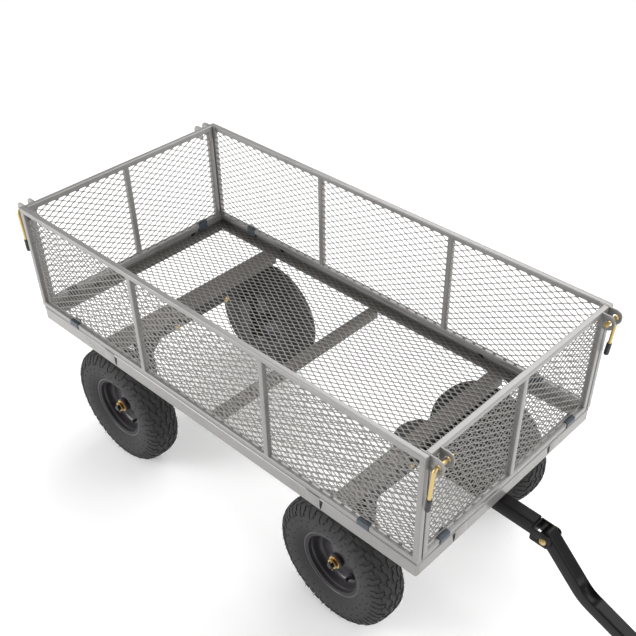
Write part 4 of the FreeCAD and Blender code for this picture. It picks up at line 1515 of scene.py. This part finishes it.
    def build(self) -> None:
        """Makes and dresses the wheel; each tyre is turned by its own angle about the axle."""
        name, body = self.corner, "wheel_" + self.corner
        tyre = moved(self.tyre(), self.place @ turn(self.clocking * len(name), "Y"))
        keep(tyre, "tyre_moulded_" + name, Finish.RUBBER, body, ("tyre_" + name,), 32)
        keep(moved(self.rim(), self.place), "rim_pressed_" + name, Finish.WHEEL, body,
             ("rim_" + name,), 40)
        stem = self.valve() if name.endswith("left") else moved(self.valve(), FLIP_X)
        keep(moved(stem, self.place), "valve_stem_" + name, Finish.VALVE, body,
             ("valve_" + name,), 40)


class Axle(Enum):
    """The two axles: name, body, and where their own axes lie."""

    REAR = ("rear", "bed")
    FRONT = ("front", "front_axle")


@dataclass
class AxleFittings:
    """Hub washers, split pins and tie bolts of one axle; its beam and legs keep their CAD shape."""

    axle: Axle
    wheel_y: float = mm(252.0)
    hub_out: float = mm(19.0)
    tip: float = mm(37.5)
    leg_face: float = mm(203.4)
    cotter_in: float = mm(5.5)
    shaft: float = mm(8.0)

    def washer(self, offset: float, thick: float, outer: float) -> bpy.types.Mesh:
        """One washer.

        Args:
            offset: its inboard face, from the wheel's mid plane.
            thick: its thickness.
            outer: its outer radius.

        Returns:
            The mesh.
        """
        hole = ring_points(self.shaft + mm(0.02), 32)
        disc = plate(ring_points(outer, 40), [hole], thick, mm(0.3))
        return moved(disc, turn(90, "X"), shift(0.0, self.wheel_y + offset + thick / 2, 0.0))

    def split_pin(self) -> bpy.types.Mesh:
        """A split pin through the shaft's end, its legs spread."""
        y = self.wheel_y + self.tip - self.cotter_in
        eye = [Vector((mm(3.0) * math.sin(a), y, mm(12.4) - mm(3.4) * math.cos(a)))
               for a in (math.radians(20 + 320 * k / 14) for k in range(15))]
        parts = [rod(eye, mm(0.85), 8)]
        for near, reach in (mm(-0.7, -7.2), mm(0.7, 5.7)):
            tail = [(near, y, mm(9.2)), (near, y, mm(-8.5)), (reach, y + mm(1.0), mm(-12.5))]
            parts.append(rod(bent_path(tail, mm(1.6), 4), mm(0.8), 8))
        return joined(parts)

    def build(self) -> None:
        """Makes and dresses the fittings and dresses the CAD beam, legs and bolts."""
        name, body = self.axle.value
        hub = Vector(JOINTS[f"wheel_{name}_left_spin"]["pos_m"])
        other = Vector(JOINTS[f"wheel_{name}_right_spin"]["pos_m"])
        lean = STEER if self.axle is Axle.FRONT else 0.0
        place = Matrix.Translation((hub + other) / 2) @ turn(lean)

        def both(mesh: bpy.types.Mesh) -> bpy.types.Mesh:
            """The fitting at both ends of the axle."""
            return joined([copied(mesh, place), copied(mesh, FLIP_Y, place)])

        rings = [self.washer(self.leg_face - self.wheel_y, mm(2.6), mm(16.0)),
                 self.washer(self.hub_out + mm(0.5), mm(2.6), mm(15.6)),
                 self.washer(self.hub_out + mm(8.2), mm(2.2), mm(12.0))]
        seal = self.washer(self.hub_out + mm(3.2), mm(1.6), mm(11.5))
        keep(both(joined(rings)), name + "_hub_washers", Finish.ZINC, body, (name + "_washers",))
        keep(both(seal), name + "_hub_seals", Finish.COPPER, body)
        keep(both(self.split_pin()), name + "_split_pins", Finish.ZINC, body,
             (name + "_cotters",), 50)
        for node in (name + "_beam", name + "_axle_ends"):
            dress(node, Finish.CHASSIS)
        dress(name + "_bolts", Finish.ZINC)


@dataclass
class DrawBar:
    """Tongue, clevis and pivot bolt on the front axle, and the turntable above it."""

    tongue: float = mm(15.0)
    beam: float = mm(18.0)
    pivot_out: float = mm(341.5)
    cheek: float = mm(3.0)
    reach: float = mm(50.0)
    nose: float = mm(18.5)
    above: float = mm(20.0)
    below: float = mm(15.2)
    gap: float = mm(16.1)

    def build(self) -> None:
        """Makes and dresses the draw bar."""
        height, place = JOINTS["handle_pitch"]["pos_m"][2], TO_FRONT_AXLE
        lo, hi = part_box("tongue")
        web = self.pivot_out + self.nose - self.reach
        back, low, high = web - self.pivot_out, -self.below, self.above
        bar = square_tube((self.beam, -self.tongue, lo.z), (web + mm(1.0), self.tongue, hi.z), 0,
                          mm(3.0))
        keep(moved(bar, place), "tongue_bar", Finish.HANDLE, "front_axle", ("tongue",))
        outline = rounded([(back, low), (self.nose, low), (self.nose, high), (back, high)],
                          mm(4, 14, 9, 3), 6)
        side = plate(outline, [ring_points(mm(5.0), 24)], self.cheek, mm(0.5))
        cheek = moved(side, turn(90, "X"))
        parts = [copied(cheek, shift(self.pivot_out, s * (self.gap + self.cheek / 2), height))
                 for s in (-1, 1)]
        wide = self.gap + mm(0.4)
        parts.append(block((web, -wide, lo.z + mm(0.5)), (web + mm(4), wide, height + high - mm(1)),
                           mm(0.6), 2))
        keep(moved(joined(parts), place), "clevis_plates", Finish.HANDLE, "front_axle", ("clevis",))
        keep(moved(self.bolt(), shift(self.pivot_out, 0.0, height), place), "clevis_bolt",
             Finish.ZINC, "front_axle", ("pivot_bolt",), 40)
        dress("turntable_fixed", Finish.CHASSIS)
        dress("turntable_turning", Finish.CHASSIS)
        dress("kingpin", Finish.ZINC)

    def bolt(self) -> bpy.types.Mesh:
        """Round-headed pivot bolt with its nut, along Y."""
        out = self.gap + self.cheek
        head = [(-out - y, r) for y, r in (mm(4.9, 0), mm(4.6, 2.6), mm(3.4, 5.4), mm(1.6, 7.6),
                                           mm(0, 8.4))]
        shank = [(-out, mm(4.98))] + [(out + y, r) for y, r in (mm(13, 4.98), mm(14, 4), mm(14, 0))]
        nut = moved(plate(hexagon(mm(16.0)), [], mm(8.6), mm(0.6)), turn(90, "X"),
                    shift(0.0, out + mm(4.4), 0.0))
        return joined([lathe(smooth_profile(head, 3) + shank, 28, False), nut])


@dataclass
class Handle:
    """The bent square handle with its pressed dent, the hand loop and the foam grip."""

    tube: float = mm(31.0)
    corner: float = mm(4.0)
    behind: float = mm(17.0)
    end_round: float = mm(5.0)
    lift: float = mm(8.0)
    leg: float = mm(142.4)
    steep: float = math.radians(43.2)
    shallow: float = math.radians(19.7)
    bend: float = mm(110.0)
    dent: float = mm(13.0)
    loop: float = mm(120.0)
    loop_width: float = mm(130.0)
    loop_rod: float = mm(6.0)
    foam: float = mm(16.0)
    foam_length: float = mm(104.0)

    def lines(self) -> tuple[Vector, Vector, Vector, Vector]:
        """Start, corner, tube end and far direction in the front axle's own axes."""
        joint = Vector(JOINTS["handle_pitch"]["pos_m"])
        pivot = Vector(((joint - KINGPIN).xy.length, 0.0, joint.z))
        ahead = Vector((math.cos(self.steep), 0.0, -math.sin(self.steep)))
        up = Vector((math.sin(self.steep), 0.0, math.cos(self.steep)))
        far = Vector((math.cos(self.shallow), 0.0, -math.sin(self.shallow)))
        start = pivot - ahead * self.behind + up * self.lift
        corner = pivot + ahead * self.leg + up * self.lift
        length = (corner.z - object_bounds()[0][2] - self.foam) / math.sin(self.shallow)
        return start, corner, corner + far * (length - self.loop), far

    def bar(self) -> bpy.types.Mesh:
        """The square tube with the dent pressed into the top of its bend."""
        start, corner, end, _ = self.lines()
        path = bent_path([start, corner, end], self.bend, 16)
        fine = [path[0]]
        for a, b in zip(path, path[1:]):
            near = (a - corner).length < mm(90)
            pieces = max(1, round((b - a).length / mm(4.0))) if near else 8
            if a == start:
                fine += [a + (b - a).normalized() * self.end_round * k / 6 for k in range(1, 7)]
                a = fine[-1]
            fine += [a.lerp(b, k / pieces) for k in range(1, pieces + 1)]
        half, r, across = self.tube / 2, self.corner, 8
        section = rounded([(-half, -half), (half, -half), (half, half), (-half, half)], [r] * 4, 4)
        extra = [(-half + r + (self.tube - 2 * r) * k / across, half)
                 for k in range(across - 1, 0, -1)]
        top = max(k for k, p in enumerate(section) if p[0] > 0 and abs(p[1] - half) < TINY)
        section = section[:top + 1] + extra + section[top + 1:]
        middle, reach, floor = self.behind + self.leg - mm(2.0), mm(30.0), half * 0.6
        draw_in, flat_share, edge = 0.3, 0.93, self.end_round

        def press(gone: float, s: float, t: float) -> tuple:
            """Rounds the tube's end and presses the top face in at the bend.

            Args:
                gone: distance along the tube.
                s: the section point across.
                t: the section point up.

            Returns:
                The changed (across, up).
            """
            if gone < edge:
                draw = edge - math.sqrt(max(0.0, edge ** 2 - (edge - gone) ** 2))
                s, t = s * (1 - draw_in * draw / half), t - math.copysign(draw, t)
            at = abs(gone - middle) / reach
            if at < 1 and t > floor:
                hollow = (1 - at ** 3) * max(0.0, 1 - (abs(s) / (half * flat_share)) ** 4)
                t -= self.dent * hollow * max(0.0, (t - floor) / (half - floor))
            return s, t

        return sweep(fine, section, Z_AXIS, press)

    def build(self) -> None:
        """Makes and dresses the handle."""
        place = TO_FRONT_AXLE
        _, _, end, far = self.lines()
        keep(moved(self.bar(), place), "handle_bar", Finish.HANDLE, "handle", ("handle_tube",), 40)
        lean, wide, half = turn(math.degrees(self.shallow), "Y"), self.loop_width / 2, self.tube / 2

        def at(along: float, side: float) -> Vector:
            """A point of the loop's plane, from the middle of the tube's end."""
            return end + far * along + Y_AXIS * side

        arms = []
        for s in (-1, 1):
            points = [at(mm(4), s * mm(8)), at(mm(28), s * mm(8)), at(mm(60), s * wide),
                      at(self.loop - mm(10), s * wide)]
            arms.append(rod(bent_path(points, mm(14.0), 6), self.loop_rod, 16))
            lug = block(mm(-14, -6, -6.2), mm(8, 6, 6.2), mm(2.4), 3)
            arms.append(moved(lug, lean, Matrix.Translation(at(self.loop, s * wide))))
        cap = moved(block((0.0, -half, -half), (mm(6.0), half, half), mm(2.0), 3), lean,
                    Matrix.Translation(end))
        across = rod([at(self.loop, s * (wide - mm(6))) for s in (-1, 0, 1)], self.loop_rod, 16)
        keep(moved(joined([*arms, cap, across]), place), "hand_loop_frame", Finish.HANDLE, "handle",
             ("hand_loop",), 40)
        l, r, bore = self.foam_length / 2, self.foam, self.loop_rod + mm(0.05)
        end_round = [(-l, bore), (-l, r * 0.72), (-l + mm(1.6), r * 0.9), (-l + mm(5), r * 0.985)]
        crown = [*end_round, (-l * 0.5, r), (0.0, r * 0.99), (l * 0.5, r),
                 *((-y, radius) for y, radius in reversed(end_round))]
        foam = moved(lathe(crown, 48), Matrix.Translation(end + far * self.loop), place)
        grip = keep(foam, "foam_sleeve", Finish.FOAM, "handle", ("foam_grip",), 50)


@dataclass
class Studio:
    """Camera, pale floor and soft lights."""

    lens: float = 53.92
    sensor: float = 36.0
    place: tuple = (1.2736, -1.2261, 1.4199)
    ahead: tuple = (-0.51762, 0.54953, -0.65582)
    right: tuple = (0.73088, 0.68249, -0.00498)
    slide: tuple = (-0.0274, 0.1118)
    floor_half: float = 14.0
    sky: float = 0.38

    def camera(self) -> None:
        """Makes the camera."""
        data = bpy.data.cameras.new("camera")
        data.lens, data.sensor_width, data.sensor_fit = self.lens, self.sensor, "HORIZONTAL"
        data.shift_x, data.shift_y = self.slide
        data.clip_start, data.clip_end = 0.05, 60.0
        back = -Vector(self.ahead).normalized()
        side = (Vector(self.right) - back * Vector(self.right).dot(back)).normalized()
        up = back.cross(side)
        turned = Matrix((side, up, back)).transposed().to_4x4()
        camera = helper(data, "camera")
        camera.matrix_world = TO_BED @ Matrix.Translation(self.place) @ turned
        bpy.context.scene.camera = camera

    def floor(self) -> None:
        """Makes the pale floor."""
        bm = bmesh.new()
        bmesh.ops.create_grid(bm, x_segments=2, y_segments=2, size=self.floor_half)
        mesh = from_bmesh(bm, recalc=False)
        s = Shader("floor", Roughness=0.9, Specular_IOR_Level=0.1, Emission_Strength=0.2)
        s.link("Base Color", s.mix(s.noise(2.0), (0.93, 0.93, 0.93), (0.95, 0.95, 0.95)))
        mesh.materials.append(s.material)
        floor = bpy.data.objects.new("floor", mesh)
        mesh.transform(shift(0.0, 0.0, CAD_BOUNDS[0][2]))
        bpy.context.scene.collection.objects.link(floor)
        floor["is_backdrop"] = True

    def light(self, name: str, place: tuple, aim: tuple, size: tuple, power: float) -> None:
        """Adds one soft area light.

        Args:
            name: the light's name.
            place: where it hangs.
            aim: what it points at.
            size: width and height.
            power: watts.
        """
        data = bpy.data.lights.new(name, "AREA")
        data.shape, data.energy = "RECTANGLE", power
        data.size, data.size_y = size
        lamp = helper(data, name)
        toward = Vector(aim) - Vector(place)
        turned = toward.to_track_quat("-Z", "Y").to_matrix().to_4x4()
        lamp.matrix_world = Matrix.Translation(place) @ turned

    def build(self) -> None:
        """Makes the floor, the lights and the world."""
        self.floor()
        middle = (BED_X, 0.0, 0.35)
        self.light("overhead", (BED_X + 0.3, 2.0, 3.1), middle, (6.0, 2.6), 152.0)
        self.light("left", (-3.0, -3.6, 1.8), middle, (2.4, 2.0), 152.0)
        self.light("right", (3.8, -0.2, 1.9), middle, (2.0, 2.0), 50.0)
        world = bpy.data.worlds.new("studio")
        world.use_nodes = True
        sky = world.node_tree.nodes["Background"]
        sky.inputs["Color"].default_value = (1.0, 1.0, 1.0, 1.0)
        sky.inputs["Strength"].default_value = self.sky
        bpy.context.scene.world = world
        bpy.context.scene.view_settings.view_transform = "Standard"


def main() -> None:
    """Builds the cart piece by piece."""
    logging.basicConfig(level=logging.INFO, format="%(name)s %(message)s")
    studio = Studio()
    studio.camera()
    crew = [Bed(), *map(Panel, Wall), *map(Latch, CORNERS), *map(Wheel, CORNERS),
            *map(AxleFittings, Axle), DrawBar(), Handle(), studio]
    for piece in crew:
        piece.build()
        LOG.info("built %s", type(piece).__name__)


if __name__ == "__main__":
    main()
